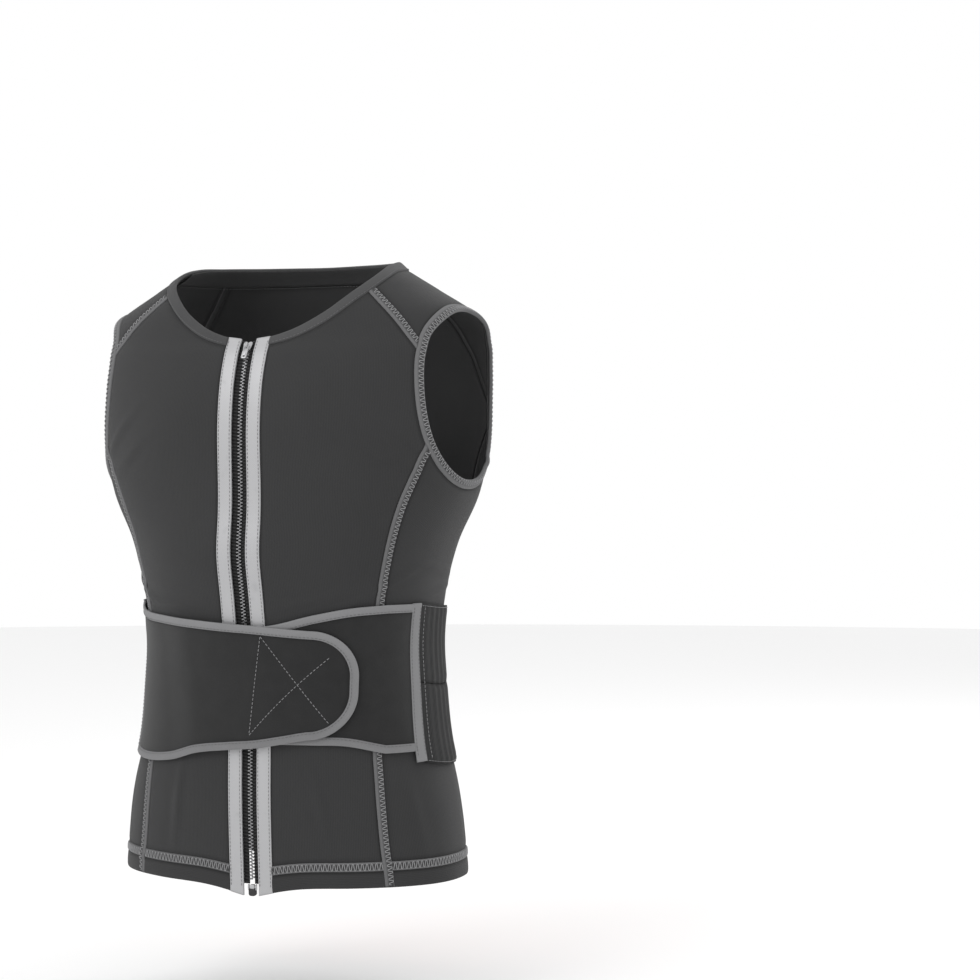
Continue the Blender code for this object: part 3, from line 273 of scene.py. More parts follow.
def swell(angle, drop, across):
    """Two bell-shaped chest muscles and a flat-topped belly, on the front half only."""
    chest = np.exp(-((np.abs(across) / CHEST_WIDTH - 0.19) / 0.17)**2)
    chest = chest * np.exp(-((drop - 0.245) / 0.085)**2)
    belly = np.exp(-(across / CHEST_WIDTH / 0.28)**4) * np.exp(-((drop - 0.4535) / 0.050)**2)
    front = np.clip(np.cos(angle) * 2.5, 0, 1)
    return (CHEST_SWELL * chest + BELLY_SWELL * belly) * front * front * (3 - 2 * front)


def torso(angle, section):
    """Points of the torso: each section is a superellipse, deeper or flatter at the back."""
    angle, section = np.broadcast_arrays(np.asarray(angle, float), np.asarray(section, float))
    half_width = CHEST_WIDTH * smooth_column(HALF_WIDTH, section)
    depth = CHEST_DEPTH * np.where(np.cos(angle) > 0, smooth_column(FRONT, section),
                                   smooth_column(BACK, section))
    power = smooth_column(SQUARENESS, section)
    drop = smooth_column(DROP, section)
    radius = ((np.abs(np.sin(angle)) / half_width)**power
              + (np.abs(np.cos(angle)) / depth)**power)**(-1 / power)
    radius = radius + swell(angle, drop, radius * np.sin(angle))
    return np.stack([radius * np.sin(angle), -radius * np.cos(angle), -drop * BACK_LENGTH], -1)


def directions(angle, section):
    """Derivatives of the torso along the angle and down the sections, by central steps."""
    step = 1e-3
    by_angle = (torso(angle + step, section) - torso(angle - step, section)) / (2 * step)
    last = len(SECTIONS) - 1
    above = np.clip(section - step, 0, last)
    below = np.clip(section + step, 0, last)
    by_section = (torso(angle, below) - torso(angle, above)) / (below - above)[..., None]
    return by_angle, by_section


def unit(vectors):
    """Vectors divided by their lengths."""
    return vectors / np.maximum(np.linalg.norm(vectors, axis=-1, keepdims=True), 1e-12)


def outward(angle, section):
    """Unit normals of the torso: the cross product of its two derivatives."""
    by_angle, by_section = directions(angle, section)
    return unit(np.cross(by_section, by_angle))


def lifted(spot, lift=0.0):
    """Points over the torso: the surface point plus the normal times the lift."""
    angle, section = spot[..., 0], spot[..., 1]
    return torso(angle, section) + outward(angle, section) * np.asarray(lift)[..., None]


def folds(spot):
    """Height of the soft folds: each is a bell along its heading and a ripple across it."""
    angle = (spot[..., 0] + math.pi) % (2 * math.pi) - math.pi
    drop = smooth_column(DROP, spot[..., 1])
    height = np.zeros(drop.shape)
    for degrees, at_drop, heading, length, width, rise in FOLDS:
        turn = (angle - math.radians(degrees) + math.pi) % (2 * math.pi) - math.pi
        level = turn * 0.165
        down = (drop - at_drop) * BACK_LENGTH
        slant = math.radians(heading)
        along = (level * math.cos(slant) + down * math.sin(slant)) / length
        across = (down * math.cos(slant) - level * math.sin(slant)) / width
        height += rise * np.exp(-along**2 - across**2) * np.cos(1.9 * across + along)
    calm = np.clip((np.abs(angle) - 0.14) / 0.2, 0, 1)
    return height * calm * calm * (3 - 2 * calm)


def draped(spot, lift=0.0):
    """Points over the torso that also rise and fall with the folds of the cloth."""
    return lifted(spot, np.asarray(lift) + folds(spot))


def angle_where(section, value, axis, low, high):
    """Angle between low and high at which x or y has the value, by halving the range."""
    section, value = np.broadcast_arrays(np.asarray(section, float), np.asarray(value, float))
    first = np.full(section.shape, math.radians(low))
    last = np.full(section.shape, math.radians(high))
    rising = torso(last, section)[..., axis] > torso(first, section)[..., axis]
    for _ in range(34):
        middle = (first + last) / 2
        beyond = (torso(middle, section)[..., axis] > value) == rising
        last = np.where(beyond, middle, last)
        first = np.where(beyond, first, middle)
    return (first + last) / 2


def table_curve(table, values):
    """Second column of a table on a smooth cubic curve, at given values of the first."""
    first, second = table[:, 0], table[:, 1]
    slopes = np.gradient(second, first)
    row = np.clip(np.searchsorted(first, values) - 1, 0, len(first) - 2)
    width = first[row + 1] - first[row]
    t = np.clip((values - first[row]) / width, 0, 1)
    return ((2 * t**3 - 3 * t**2 + 1) * second[row]
            + (t**3 - 2 * t**2 + t) * width * slopes[row]
            + (3 * t**2 - 2 * t**3) * second[row + 1]
            + (t**3 - t**2) * width * slopes[row + 1])


def edge_round(table, low=0.0, high=186.0, count=745):
    """A level edge round the body, a little past the middle, from a table of angle and drop."""
    degrees = np.linspace(low, high, count)
    return np.stack([np.radians(degrees), section_at(table_curve(table, degrees))], -1)


def seam_at_angle(table, count=401):
    """A seam down the body from a table of drop and angle."""
    drops = np.linspace(table[0, 0], table[-1, 0], count)
    return np.stack([np.radians(table_curve(table, drops)), section_at(drops)], -1)


def seam_at_distance(table, low, high, count=401):
    """A seam down the body from a table of drop and distance from the middle."""
    drops = np.linspace(table[0, 0], table[-1, 0], count)
    sections = section_at(drops)
    across = CHEST_WIDTH * table_curve(table, drops)
    return np.stack([angle_where(sections, across, 0, low, high), sections], -1)


def zip_line(distance, count=401):
    """A line beside the zip, at one distance from the middle all the way down."""
    sections = section_at(np.linspace(0.075, 1.010, count))
    return np.stack([angle_where(sections, distance, 0, 0, 45), sections], -1)


def armhole_loop(count=361):
    """Edge of the armhole, a superellipse seen from the side, down the front, up the back."""
    turn = np.linspace(0, 2 * math.pi, count)
    squared = 2 / 2.2
    forward = np.sign(np.sin(turn)) * np.abs(np.sin(turn))**squared
    upward = np.sign(np.cos(turn)) * np.abs(np.cos(turn))**squared
    sections = section_at((ARMHOLE_DROP - upward * ARMHOLE_HEIGHT / 2) / BACK_LENGTH)
    depth = -ARMHOLE_FORWARD - forward * ARMHOLE_DEPTH / 2
    return np.stack([angle_where(sections, depth, 1, 20, 160), sections], -1)


def moved_sideways(curve, distance, closed=False):
    """The curve moved over the surface: a curve going down moves towards the front.

    The step is square to the curve and to the normal, solved in angle and section by the
    surface's own metric."""
    points = lifted(curve)
    if closed:
        ring = points[:-1]
        tangent = np.roll(ring, -1, axis=0) - np.roll(ring, 1, axis=0)
        tangent = np.vstack([tangent, tangent[:1]])
    else:
        tangent = np.gradient(points, axis=0)
    side = np.cross(unit(tangent), outward(curve[:, 0], curve[:, 1]))
    by_angle, by_section = directions(curve[:, 0], curve[:, 1])
    aa = (by_angle * by_angle).sum(1)
    ab = (by_angle * by_section).sum(1)
    bb = (by_section * by_section).sum(1)
    sa, sb = (side * by_angle).sum(1), (side * by_section).sum(1)
    scale = distance / (aa * bb - ab * ab)
    return curve + np.stack([(sa * bb - sb * ab) * scale, (sb * aa - sa * ab) * scale], -1)


def crossing(curve, border):
    """Places where a curve crosses a border, as row numbers with a fraction."""
    p, r = curve[:-1, None], (curve[1:] - curve[:-1])[:, None]
    q, s = border[None, :-1], (border[1:] - border[:-1])[None]
    area = r[..., 0] * s[..., 1] - r[..., 1] * s[..., 0]
    area = np.where(np.abs(area) < 1e-14, 1e-14, area)
    gap = q - p
    t = (gap[..., 0] * s[..., 1] - gap[..., 1] * s[..., 0]) / area
    u = (gap[..., 0] * r[..., 1] - gap[..., 1] * r[..., 0]) / area
    hits = np.argwhere((t >= 0) & (t <= 1) & (u >= 0) & (u <= 1))
    return sorted(row + t[row, column] for row, column in hits)


def between(curve, start=None, end=None, last_end=False):
    """The stretch of a curve between its crossings with two borders."""
    first, last = 0.0, len(curve) - 1.0
    if start is not None:
        first = crossing(curve, start)[0]
    if end is not None:
        places = [place for place in crossing(curve, end) if place > first + 1e-6]
        last = places[-1] if last_end else places[0]
    inner = np.arange(math.ceil(first + 1e-9), math.floor(last - 1e-9) + 1)
    places = np.concatenate([[first], inner, [last]])
    index = np.arange(len(curve))
    return np.stack([np.interp(places, index, curve[:, 0]),
                     np.interp(places, index, curve[:, 1])], -1)


def run_length(points):
    """Distance run along a row of points, from 0 at the first."""
    return np.concatenate([[0], np.cumsum(np.linalg.norm(np.diff(points, axis=0), axis=1))])


def evenly(curve, count):
    """The curve with count equal steps along the surface."""
    length = run_length(lifted(curve))
    places = np.linspace(0, length[-1], count + 1)
    return np.stack([np.interp(places, length, curve[:, 0]),
                     np.interp(places, length, curve[:, 1])], -1)


def patch(left, right, top, bottom):
    """Rows from top to bottom between four edges that meet at their corners."""
    v = np.linspace(0, 1, len(left))[:, None, None]
    u = np.linspace(0, 1, len(top))[None, :, None]
    sides = (1 - u) * left[:, None] + u * right[:, None]
    ends = (1 - v) * top[None] + v * bottom[None]
    corners = ((1 - u) * (1 - v) * top[0] + u * (1 - v) * top[-1]
               + (1 - u) * v * bottom[0] + u * v * bottom[-1])
    return sides + ends - corners


def chained(*curves):
    """Curves that follow each other, as one."""
    return np.vstack([curves[0]] + [curve[1:] for curve in curves[1:]])


def whole(curve):
    """A line from the front to the middle of the back, and on round the other side."""
    other = curve[::-1] * np.array([-1.0, 1.0]) + np.array([2 * math.pi, 0.0])
    return np.vstack([curve, other[1:]])


def rolled(loop, shift):
    """A closed loop that starts a share of the way round."""
    ring = np.roll(loop[:-1], -int(shift * (len(loop) - 1)), axis=0)
    return np.vstack([ring, ring[:1]])


class Course:
    """A line on the torso with places along it, across it and above it.

    A place is the line's point at that length, plus the sideways step there times the
    distance across, then lifted along the normal by the height and by the course's own rise."""

    def __init__(self, curve, closed=False, rise=None, folded=True):
        self.curve = curve
        self.runs = run_length(lifted(curve))
        self.length = self.runs[-1]
        self.step = moved_sideways(curve, 1.0, closed) - curve
        self.rise = rise
        self.folded = folded

    def spot(self, along, across):
        """Angle and section of places on the course."""
        along, across = np.broadcast_arrays(along, across)
        pair = [np.interp(along, self.runs, self.curve[:, k])
                + across * np.interp(along, self.runs, self.step[:, k]) for k in (0, 1)]
        return np.stack(pair, -1)

    def at(self, along, across=0.0, lift=0.0):
        """Points at lengths along, distances across and heights above."""
        along, across, lift = np.broadcast_arrays(along, across, lift)
        spot = self.spot(along, across)
        if self.rise is not None:
            lift = lift + self.rise(spot)
        return draped(spot, lift) if self.folded else lifted(spot, lift)


# Meshes from arrays
def grid_faces(rows, columns, closed_rows=False, closed_columns=False):
    """Quads of a grid of points that may close on itself, and each corner's row and column."""
    row = np.arange(rows if closed_rows else rows - 1)
    column = np.arange(columns if closed_columns else columns - 1)
    row, column = [x.ravel() for x in np.meshgrid(row, column, indexing="ij")]
    corner_row = np.stack([row, row + 1, row + 1, row], -1)
    corner_column = np.stack([column, column, column + 1, column + 1], -1)
    quads = (corner_row % rows) * columns + corner_column % columns
    return quads, corner_row, corner_column


def grid_sizes(points, closed_rows=False, closed_columns=False):
    """Distances run along the rows and down the columns of a grid, in metres."""
    if closed_rows:
        points = np.concatenate([points, points[:1]], 0)
    if closed_columns:
        points = np.concatenate([points, points[:, :1]], 1)
    down = np.zeros(points.shape[:2])
    over = np.zeros(points.shape[:2])
    down[1:] = np.cumsum(np.linalg.norm(np.diff(points, axis=0), axis=-1), 0)
    over[:, 1:] = np.cumsum(np.linalg.norm(np.diff(points, axis=1), axis=-1), 1)
    return over, down


class Form:
    """Points, quads, triangles and cloth coordinates of one closed or open surface."""

    def __init__(self, points, quads, quad_uv=None, triangles=None, values=None):
        self.points = np.asarray(points, float).reshape(-1, 3)
        self.quads = quads
        self.triangles = np.zeros((0, 3), int) if triangles is None else triangles
        self.quad_uv = np.zeros((len(quads), 4, 2)) if quad_uv is None else quad_uv
        self.values = {} if values is None else values

    def facing_out(self, closed):
        """Faces turned outward: by the sign of the volume, or away from the body's axis."""
        a, b, c, d = (self.points[self.quads[:, k]] for k in range(4))
        if closed:
            amount = (a * (np.cross(b, c) + np.cross(c, d))).sum()
            e, f, g = (self.points[self.triangles[:, k]] for k in range(3))
            amount += (e * np.cross(f, g)).sum()
        else:
            amount = (np.cross(c - a, d - b)[:, :2] * (a + c)[:, :2]).sum()
        if amount < 0:
            self.quads = self.quads[:, ::-1]
            self.quad_uv = self.quad_uv[:, ::-1]
            self.triangles = self.triangles[:, ::-1]
        return self

    def mirrored(self):
        """The same form on the other side of the body."""
        return Form(self.points * np.array([-1.0, 1.0, 1.0]), self.quads, self.quad_uv,
                    self.triangles, self.values)


def grid_form(points, closed_rows=False, closed_columns=False, values=None):
    """A surface over a grid of points, with its cloth coordinates in metres."""
    rows, columns = points.shape[:2]
    quads, corner_row, corner_column = grid_faces(rows, columns, closed_rows, closed_columns)
    over, down = grid_sizes(points, closed_rows, closed_columns)
    uv = np.stack([over[corner_row, corner_column], down[corner_row, corner_column]], -1)
    return Form(points, quads, uv, values=values)


def capped(points, values=None):
    """A row of closed rings as a solid: quads between rings, and a fan over each end."""
    rows, columns = points.shape[:2]
    form = grid_form(points, closed_columns=True, values=values)
    middles = np.stack([points[0].mean(0), points[-1].mean(0)])
    ring = np.arange(columns)
    following = (ring + 1) % columns
    first = np.stack([np.full(columns, rows * columns), ring, following], -1)
    base = (rows - 1) * columns
    last = np.stack([np.full(columns, rows * columns + 1), base + following, base + ring], -1)
    form.points = np.vstack([form.points, middles])
    form.triangles = np.vstack([first, last])
    form.values = {word: np.concatenate([value.ravel(), [value.ravel()[0]] * 2])
                   for word, value in form.values.items()}
    return form


def joined(forms):
    """Several forms as one, each turned outward on its own first."""
    forms = [form.facing_out(True) for form in forms]
    starts = np.cumsum([0] + [len(form.points) for form in forms[:-1]])
    return Form(np.vstack([form.points for form in forms]),
                np.vstack([form.quads + s for form, s in zip(forms, starts)]),
                np.vstack([form.quad_uv for form in forms]),
                np.vstack([form.triangles + s for form, s in zip(forms, starts)]))


def tubes(paths, radius, normals=None, sides=6, blunt=0.55):
    """Round threads along many paths at once: rings square to each path, closed by cones.

    paths is (threads, points, 3). A ring is the path's point plus the radius times the
    cosine of the side vector and the sine of the upward one. Both ends narrow to a point."""
    paths = np.asarray(paths, float)
    threads, count = paths.shape[:2]
    tangent = unit(np.gradient(paths, axis=1))
    if normals is None:
        normals = unit(paths * np.array([1.0, 1.0, 0.0]))
    side = unit(np.cross(tangent, normals))
    up = np.cross(side, tangent)
    turn = np.linspace(0, 2 * math.pi, sides, endpoint=False)
    round_it = (np.cos(turn)[:, None] * side[:, :, None] + np.sin(turn)[:, None] * up[:, :, None])
    size = np.full(count, float(radius))
    size[0] = size[-1] = radius * blunt
    rings = paths[:, :, None] + round_it * size[None, :, None, None]
    tips = np.stack([paths[:, 0] - tangent[:, 0] * radius * 0.5,
                     paths[:, -1] + tangent[:, -1] * radius * 0.5], 1)
    points = np.concatenate([rings.reshape(threads, -1, 3), tips], 1)
    quads = grid_faces(count, sides, closed_columns=True)[0]
    ring = np.arange(sides)
    following = (ring + 1) % sides
    base = (count - 1) * sides
    first = np.stack([np.full(sides, count * sides), following, ring], -1)
    last = np.stack([np.full(sides, count * sides + 1), base + ring, base + following], -1)
    triangles = np.vstack([first, last])
    shift = (np.arange(threads) * (count * sides + 2))[:, None, None]
    return Form(points.reshape(-1, 3), (quads[None] + shift).reshape(-1, 4), None,
                (triangles[None] + shift).reshape(-1, 3))


def copies(form, origins, axes):
    """A small solid repeated at many frames, given their origins and three axes each."""
    spots = origins[:, None] + np.einsum("pk,nkj->npj", form.points, axes)
    shift = (np.arange(len(origins)) * len(form.points))[:, None, None]
    return Form(spots.reshape(-1, 3), (form.quads[None] + shift).reshape(-1, 4), None,
                (form.triangles[None] + shift).reshape(-1, 3))


def piece(name, form, paint, slot, body="vest", stands_for=(), closed=True, wall=0.0,
          sharp=None):
    """One finished piece: its mesh from arrays, its wall, material and body; its slot is not used.
    """
    form = form.facing_out(closed)
    mesh = bpy.data.meshes.new(name)
    mesh.vertices.add(len(form.points))
    mesh.vertices.foreach_set("co", form.points.astype(np.float32).ravel())
    corners = np.concatenate([form.quads.ravel(), form.triangles.ravel()]).astype(np.int32)
    mesh.loops.add(len(corners))
    mesh.loops.foreach_set("vertex_index", corners)
    quads, triangles = len(form.quads), len(form.triangles)
    starts = np.concatenate([np.arange(quads) * 4, 4 * quads + np.arange(triangles) * 3])
    mesh.polygons.add(quads + triangles)
    mesh.polygons.foreach_set("loop_start", starts.astype(np.int32))
    mesh.update(calc_edges=True)
    mesh.polygons.foreach_set("use_smooth", np.ones(quads + triangles, bool))
    layer = mesh.uv_layers.new(name="cloth")
    flat = np.concatenate([form.quad_uv.reshape(-1, 2), np.zeros((triangles * 3, 2))])
    layer.uv.foreach_set("vector", flat.astype(np.float32).ravel())
    for word, value in form.values.items():
        attribute = mesh.attributes.new(word, "FLOAT", "POINT")
        attribute.data.foreach_set("value", np.asarray(value, np.float32).ravel())
    if sharp is not None:
        mesh.set_sharp_from_angle(angle=math.radians(sharp))
    mesh.materials.append(paint)
    made = bpy.data.objects.new(name, mesh)
    bpy.context.scene.collection.objects.link(made)
    if wall > 0:
        thickness = made.modifiers.new("Wall", "SOLIDIFY")
        thickness.thickness = wall
        thickness.offset = -1.0
    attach(made, body)
    if stands_for:
        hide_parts(*stands_for)
    return made


# Materials
class Signal:
    """One value on its way through a material; an expression on values adds Math nodes."""

    def __init__(self, paint, socket):
        self.paint = paint
        self.socket = socket

    def __add__(self, other):
        return self.paint.maths("ADD", self, other)

    def __sub__(self, other):
        return self.paint.maths("SUBTRACT", self, other)

    def __rsub__(self, other):
        return self.paint.maths("SUBTRACT", other, self)

    def __mul__(self, other):
        return self.paint.maths("MULTIPLY", self, other)

    def __truediv__(self, other):
        return self.paint.maths("DIVIDE", self, other)

    def __pow__(self, other):
        return self.paint.maths("POWER", self, other)

    __radd__ = __add__
    __rmul__ = __mul__


class Paint:
    """A material with one principled shader, whose constant values are set directly."""

    def __init__(self, name, roughness, metallic=0.0, **constants):
        self.material = bpy.data.materials.new(name)
        self.material.use_nodes = True
        self.tree = self.material.node_tree
        self.shader = self.tree.nodes["Principled BSDF"]
        self.shader.inputs["Roughness"].default_value = roughness
        self.shader.inputs["Metallic"].default_value = metallic
        for word, value in constants.items():
            self.shader.inputs[word.replace("_", " ")].default_value = value

    def node(self, kind, settings=None, sockets=None, output=0):
        """Add a node: its settings first, then the values or links of its sockets."""
        made = self.tree.nodes.new(kind)
        for word, value in (settings or {}).items():
            setattr(made, word, value)
        for place, value in (sockets or {}).items():
            self.connect(made.inputs[place], value)
        return Signal(self, made.outputs[output])

    def connect(self, socket, value):
        """Link a signal to a socket, or set the socket's own value."""
        if isinstance(value, Signal):
            self.tree.links.new(value.socket, socket)
        else:
            socket.default_value = value

    def maths(self, operation, *values):
        """A Math node on one to three values."""
        return self.node("ShaderNodeMath", {"operation": operation}, dict(enumerate(values)))

    def mix(self, factor, first, second):
        """A colour between two colours."""
        return self.node("ShaderNodeMix", {"data_type": "RGBA"},
                         {0: factor, 6: first, 7: second}, output=2)

    def noise(self, vector, scale, detail=2.0):
        """Smooth noise from 0 to 1."""
        return self.node("ShaderNodeTexNoise", {}, {"Vector": vector, "Scale": scale,
                                                   "Detail": detail})

    def place(self):
        """Object coordinates, in metres."""
        return self.node("ShaderNodeTexCoord", output=3)

    def cloth_axes(self):
        """Distances over and down the cloth, in metres, from the piece's own map."""
        layer = self.node("ShaderNodeUVMap", {"uv_map": "cloth"})
        return tuple(self.node("ShaderNodeSeparateXYZ", {}, {0: layer}, output=k) for k in (0, 1))

    def attribute(self, word):
        """A number kept on the piece's points."""
        return self.node("ShaderNodeAttribute", {"attribute_name": word}, output=2)

    def wave(self, value, pitch, shift=0.0):
        """A smooth wave from 0 to 1 with one crest for each pitch."""
        return self.maths("SINE", value * (2 * math.pi / pitch) + shift) * 0.5 + 0.5

    def clamp(self, value):
        """A value held between 0 and 1."""
        return self.node("ShaderNodeClamp", {}, {0: value})

    def finish(self, colour=None, roughness=None, height=None, distance=0.0002, strength=1.0):
        """Feed the shader, with a bump from a height between 0 and 1, and give the material."""
        if colour is not None:
            self.connect(self.shader.inputs["Base Color"], colour)
        if roughness is not None:
            self.connect(self.shader.inputs["Roughness"], roughness)
        if height is not None:
            bump = self.node("ShaderNodeBump", {}, {"Strength": strength, "Distance": distance,
                                                    "Height": height})
            self.connect(self.shader.inputs["Normal"], bump)
        return self.material


def grey(level, warmth=0.0):
    """A grey as a colour with alpha, a little cooler or warmer."""
    return (level * (1 + warmth), level, level * (1.02 - warmth), 1.0)


def knit_paint(name, level, wale=0.0017, course=0.0013, depth=0.00022):
    """Stretch knit: columns of V stitches, tone that drifts slowly, and painted shade that darkens
    it beside seams.

    A column's phase is its distance from the column's middle; the V comes from adding half
    of it to the phase down the cloth."""
    paint = Paint(name, 0.86, Specular_IOR_Level=0.16, Sheen_Weight=0.10, Sheen_Roughness=0.5)
    over, down = paint.cloth_axes()
    column = paint.maths("FRACT", over / wale)
    spread = paint.maths("ABSOLUTE", column - 0.5) * 2
    loops = paint.wave(down / course + spread * 0.55, 1.0)
    rib = 1 - spread ** 3
    height = loops * 0.6 * rib + rib * 0.4
    drift = paint.noise(paint.place(), 14.0, 3.0)
    fuzz = paint.noise(paint.place(), 900.0, 2.0)
    tone = paint.clamp(height * 0.55 + drift * 0.25 + fuzz * 0.25)
    colour = paint.mix(tone, grey(level * 0.62), grey(level * 1.32))
    # Painted shade: the seam mark darkens the knit just beside each seam, where shade falls
    # between pieces.
    colour = paint.mix(paint.clamp(paint.attribute("seam") * 0.75), colour, grey(level * 0.25))
    return paint.finish(colour, 0.78 + fuzz * 0.16, height * 0.8 + fuzz * 0.2, depth)


def brushed_paint(name, level):
    """Brushed loop cloth of the belt: short fuzz in all directions over a fine ground."""
    paint = Paint(name, 0.92, Specular_IOR_Level=0.10, Sheen_Weight=0.18, Sheen_Roughness=0.6)
    over, down = paint.cloth_axes()
    ground = paint.wave(over, 0.0011) * paint.wave(down, 0.0011)
    fuzz = paint.noise(paint.place(), 1300.0, 4.0)
    lay = paint.noise(paint.place(), 60.0, 3.0)
    tone = paint.clamp(fuzz * 0.6 + lay * 0.5 + ground * 0.15 - 0.12)
    colour = paint.mix(tone, grey(level * 0.55), grey(level * 1.5))
    # Painted shade: the seam mark darkens the cloth beside its bindings and seams.
    colour = paint.mix(paint.clamp(paint.attribute("seam") * 0.7), colour, grey(level * 0.3))
    return paint.finish(colour, None, fuzz * 0.7 + ground * 0.3, 0.00030)


def elastic_paint(name, level, pitch=0.0024):
    """Ribbed elastic: cords that run down the cloth, crossed by fine weft lines."""
    paint = Paint(name, 0.80, Specular_IOR_Level=0.18, Sheen_Weight=0.06)
    over, down = paint.cloth_axes()
    cords = paint.wave(over, pitch)
    weft = paint.wave(down, 0.0011)
    fuzz = paint.noise(paint.place(), 700.0, 2.0)
    height = cords * 0.7 + weft * 0.3
    tone = paint.clamp(height * 0.7 + fuzz * 0.3)
    colour = paint.mix(tone, grey(level * 0.55), grey(level * 1.4))
    # Painted shade: the seam mark darkens the elastic along its stitched edges.
    colour = paint.mix(paint.clamp(paint.attribute("seam") * 0.7), colour, grey(level * 0.3))
    return paint.finish(colour, None, height, 0.00035)


def band_paint(name, level, ladder=0.0, pitch=0.0010, gloss=0.74):
    """Woven band: fine ribs across it, darker where the thread ladder lies."""
    paint = Paint(name, gloss, Specular_IOR_Level=0.2, Sheen_Weight=0.05)
    over, down = paint.cloth_axes()
    ribs = paint.wave(down, pitch)
    cross = paint.wave(over, pitch * 0.8)
    fuzz = paint.noise(paint.place(), 800.0, 2.0)
    drift = paint.noise(paint.place(), 25.0, 2.0)
    tone = paint.clamp(ribs * 0.3 + cross * 0.15 + fuzz * 0.3 + drift * 0.3)
    colour = paint.mix(tone, grey(level * 0.75), grey(level * 1.25))
    if ladder > 0:
        mask = paint.clamp(paint.attribute("ladder") * ladder)
        colour = paint.mix(mask, colour, grey(level * 0.2))
    return paint.finish(colour, None, ribs * 0.6 + cross * 0.2 + fuzz * 0.2, 0.00018)


def reflective_paint(name, level):
    """Reflective tape: fine glass beads in a close net, with faint scuffs."""
    paint = Paint(name, 0.42, 0.25, Specular_IOR_Level=0.35)
    over, down = paint.cloth_axes()
    net = paint.maths("MAXIMUM", paint.wave(over + down, 0.0021), paint.wave(over - down, 0.0021))
    net = net ** 6
    beads = paint.noise(paint.place(), 2600.0, 1.0)
    scuff = paint.noise(paint.place(), 45.0, 4.0)
    worn = paint.clamp((scuff - 0.62) * 5)
    tone = paint.clamp(beads * 0.5 + 0.55 - net * 0.30)
    colour = paint.mix(tone, grey(level * 0.80), grey(level * 1.12))
    colour = paint.mix(worn * 0.35, colour, grey(level * 0.6))
    return paint.finish(colour, 0.36 + worn * 0.25 + net * 0.12, beads * 0.5 + net * 0.5, 0.00010)


def thread_paint(name, level):
    """Twisted polyester thread: fuzz, with a slow drift of tone."""
    paint = Paint(name, 0.62, Specular_IOR_Level=0.3, Sheen_Weight=0.08)
    fuzz = paint.noise(paint.place(), 1800.0, 2.0)
    drift = paint.noise(paint.place(), 120.0, 2.0)
    tone = paint.clamp(fuzz * 0.7 + drift * 0.4)
    colour = paint.mix(tone, grey(level * 0.7), grey(level * 1.25))
    return paint.finish(colour, None, fuzz, 0.00012)


def tape_paint(name, level):
    """Zip tape: a slanting twill and a raised rung beside each tooth."""
    paint = Paint(name, 0.78, Specular_IOR_Level=0.2)
    over, down = paint.cloth_axes()
    twill = paint.wave(down + over, 0.0012)
    rungs = paint.wave(down, TOOTH_PITCH) ** 2
    fuzz = paint.noise(paint.place(), 1000.0, 2.0)
    tone = paint.clamp(rungs * 0.8 + twill * 0.15 + fuzz * 0.15)
    colour = paint.mix(tone, grey(level * 0.3), grey(level * 2.6))
    return paint.finish(colour, None, rungs * 0.7 + twill * 0.2 + fuzz * 0.1, 0.00050)


def metal_paint(name, level, roughness=0.32):
    """Grey plated metal: cast grain, and duller where it has been handled."""
    paint = Paint(name, roughness, 0.75, Specular_IOR_Level=0.5)
    grain = paint.noise(paint.place(), 1500.0, 3.0)
    handled = paint.noise(paint.place(), 260.0, 3.0)
    colour = paint.mix(paint.clamp(handled), grey(level * 0.8), grey(level * 1.15))
    return paint.finish(colour, roughness - 0.08 + handled * 0.2, grain, 0.00004)


def foam_paint(name, pale, deep, painted_shade):
    """Moulded orange foam with fine pores and a tone that drifts; painted shade darkens the
    grooves and vents, and a painted highlight lightens a strip along one side.
    """
    paint = Paint(name, 0.55, Specular_IOR_Level=0.32, Subsurface_Weight=0.0)
    groove_shade = paint.clamp(paint.attribute("groove_shade"))
    painted_lit_side = paint.clamp(paint.attribute("painted_lit_side"))
    drift = paint.noise(paint.place(), 16.0, 4.0)
    pores = paint.noise(paint.place(), 1400.0, 3.0)
    # Painted highlight: the lit-side mark pulls the tone towards the pale colour along one side.
    tone = paint.clamp(drift * 0.55 + pores * 0.2 + painted_lit_side * 0.35)
    colour = paint.mix(tone, deep, pale)
    # Painted shade: the groove mark darkens the grooves and vent hollows.
    colour = paint.mix(groove_shade * 0.85, colour, painted_shade)
    return paint.finish(colour, 0.46 + pores * 0.14 + groove_shade * 0.2, pores, 0.00010)


VEST_KNIT = knit_paint("vest_knit", 0.034)
HEM_KNIT = knit_paint("hem_knit", 0.034)
BELT_CLOTH = brushed_paint("belt_cloth", 0.0165)
BELT_ELASTIC = elastic_paint("belt_elastic", 0.019)
SEAM_BAND = band_paint("seam_band", 0.130, ladder=0.80)
ARM_BAND = band_paint("arm_band", 0.140, ladder=0.80)
NECK_BAND = band_paint("neck_band", 0.066)
FACING_CLOTH = knit_paint("facing_cloth", 0.040, 0.0012, 0.0010)
BELT_BAND = band_paint("belt_band", 0.205)
SEAM_THREAD = thread_paint("seam_thread", 0.270)
BOX_THREAD = thread_paint("box_thread", 0.230)
EDGE_THREAD = thread_paint("edge_thread", 0.120)
REFLECTIVE = reflective_paint("reflective_tape", 0.400)
ZIP_TAPE = tape_paint("zip_tape", 0.012)
TOOTH_METAL = metal_paint("tooth_metal", 0.36, 0.30)
SLIDER_METAL = metal_paint("slider_metal", 0.48, 0.34)
BOX_METAL = metal_paint("box_metal", 0.05, 0.36)
PLATE_FOAM = foam_paint("plate_foam", (0.800, 0.165, 0.048, 1.0), (0.600, 0.078, 0.016, 1.0),
                        (0.300, 0.026, 0.006, 1.0))

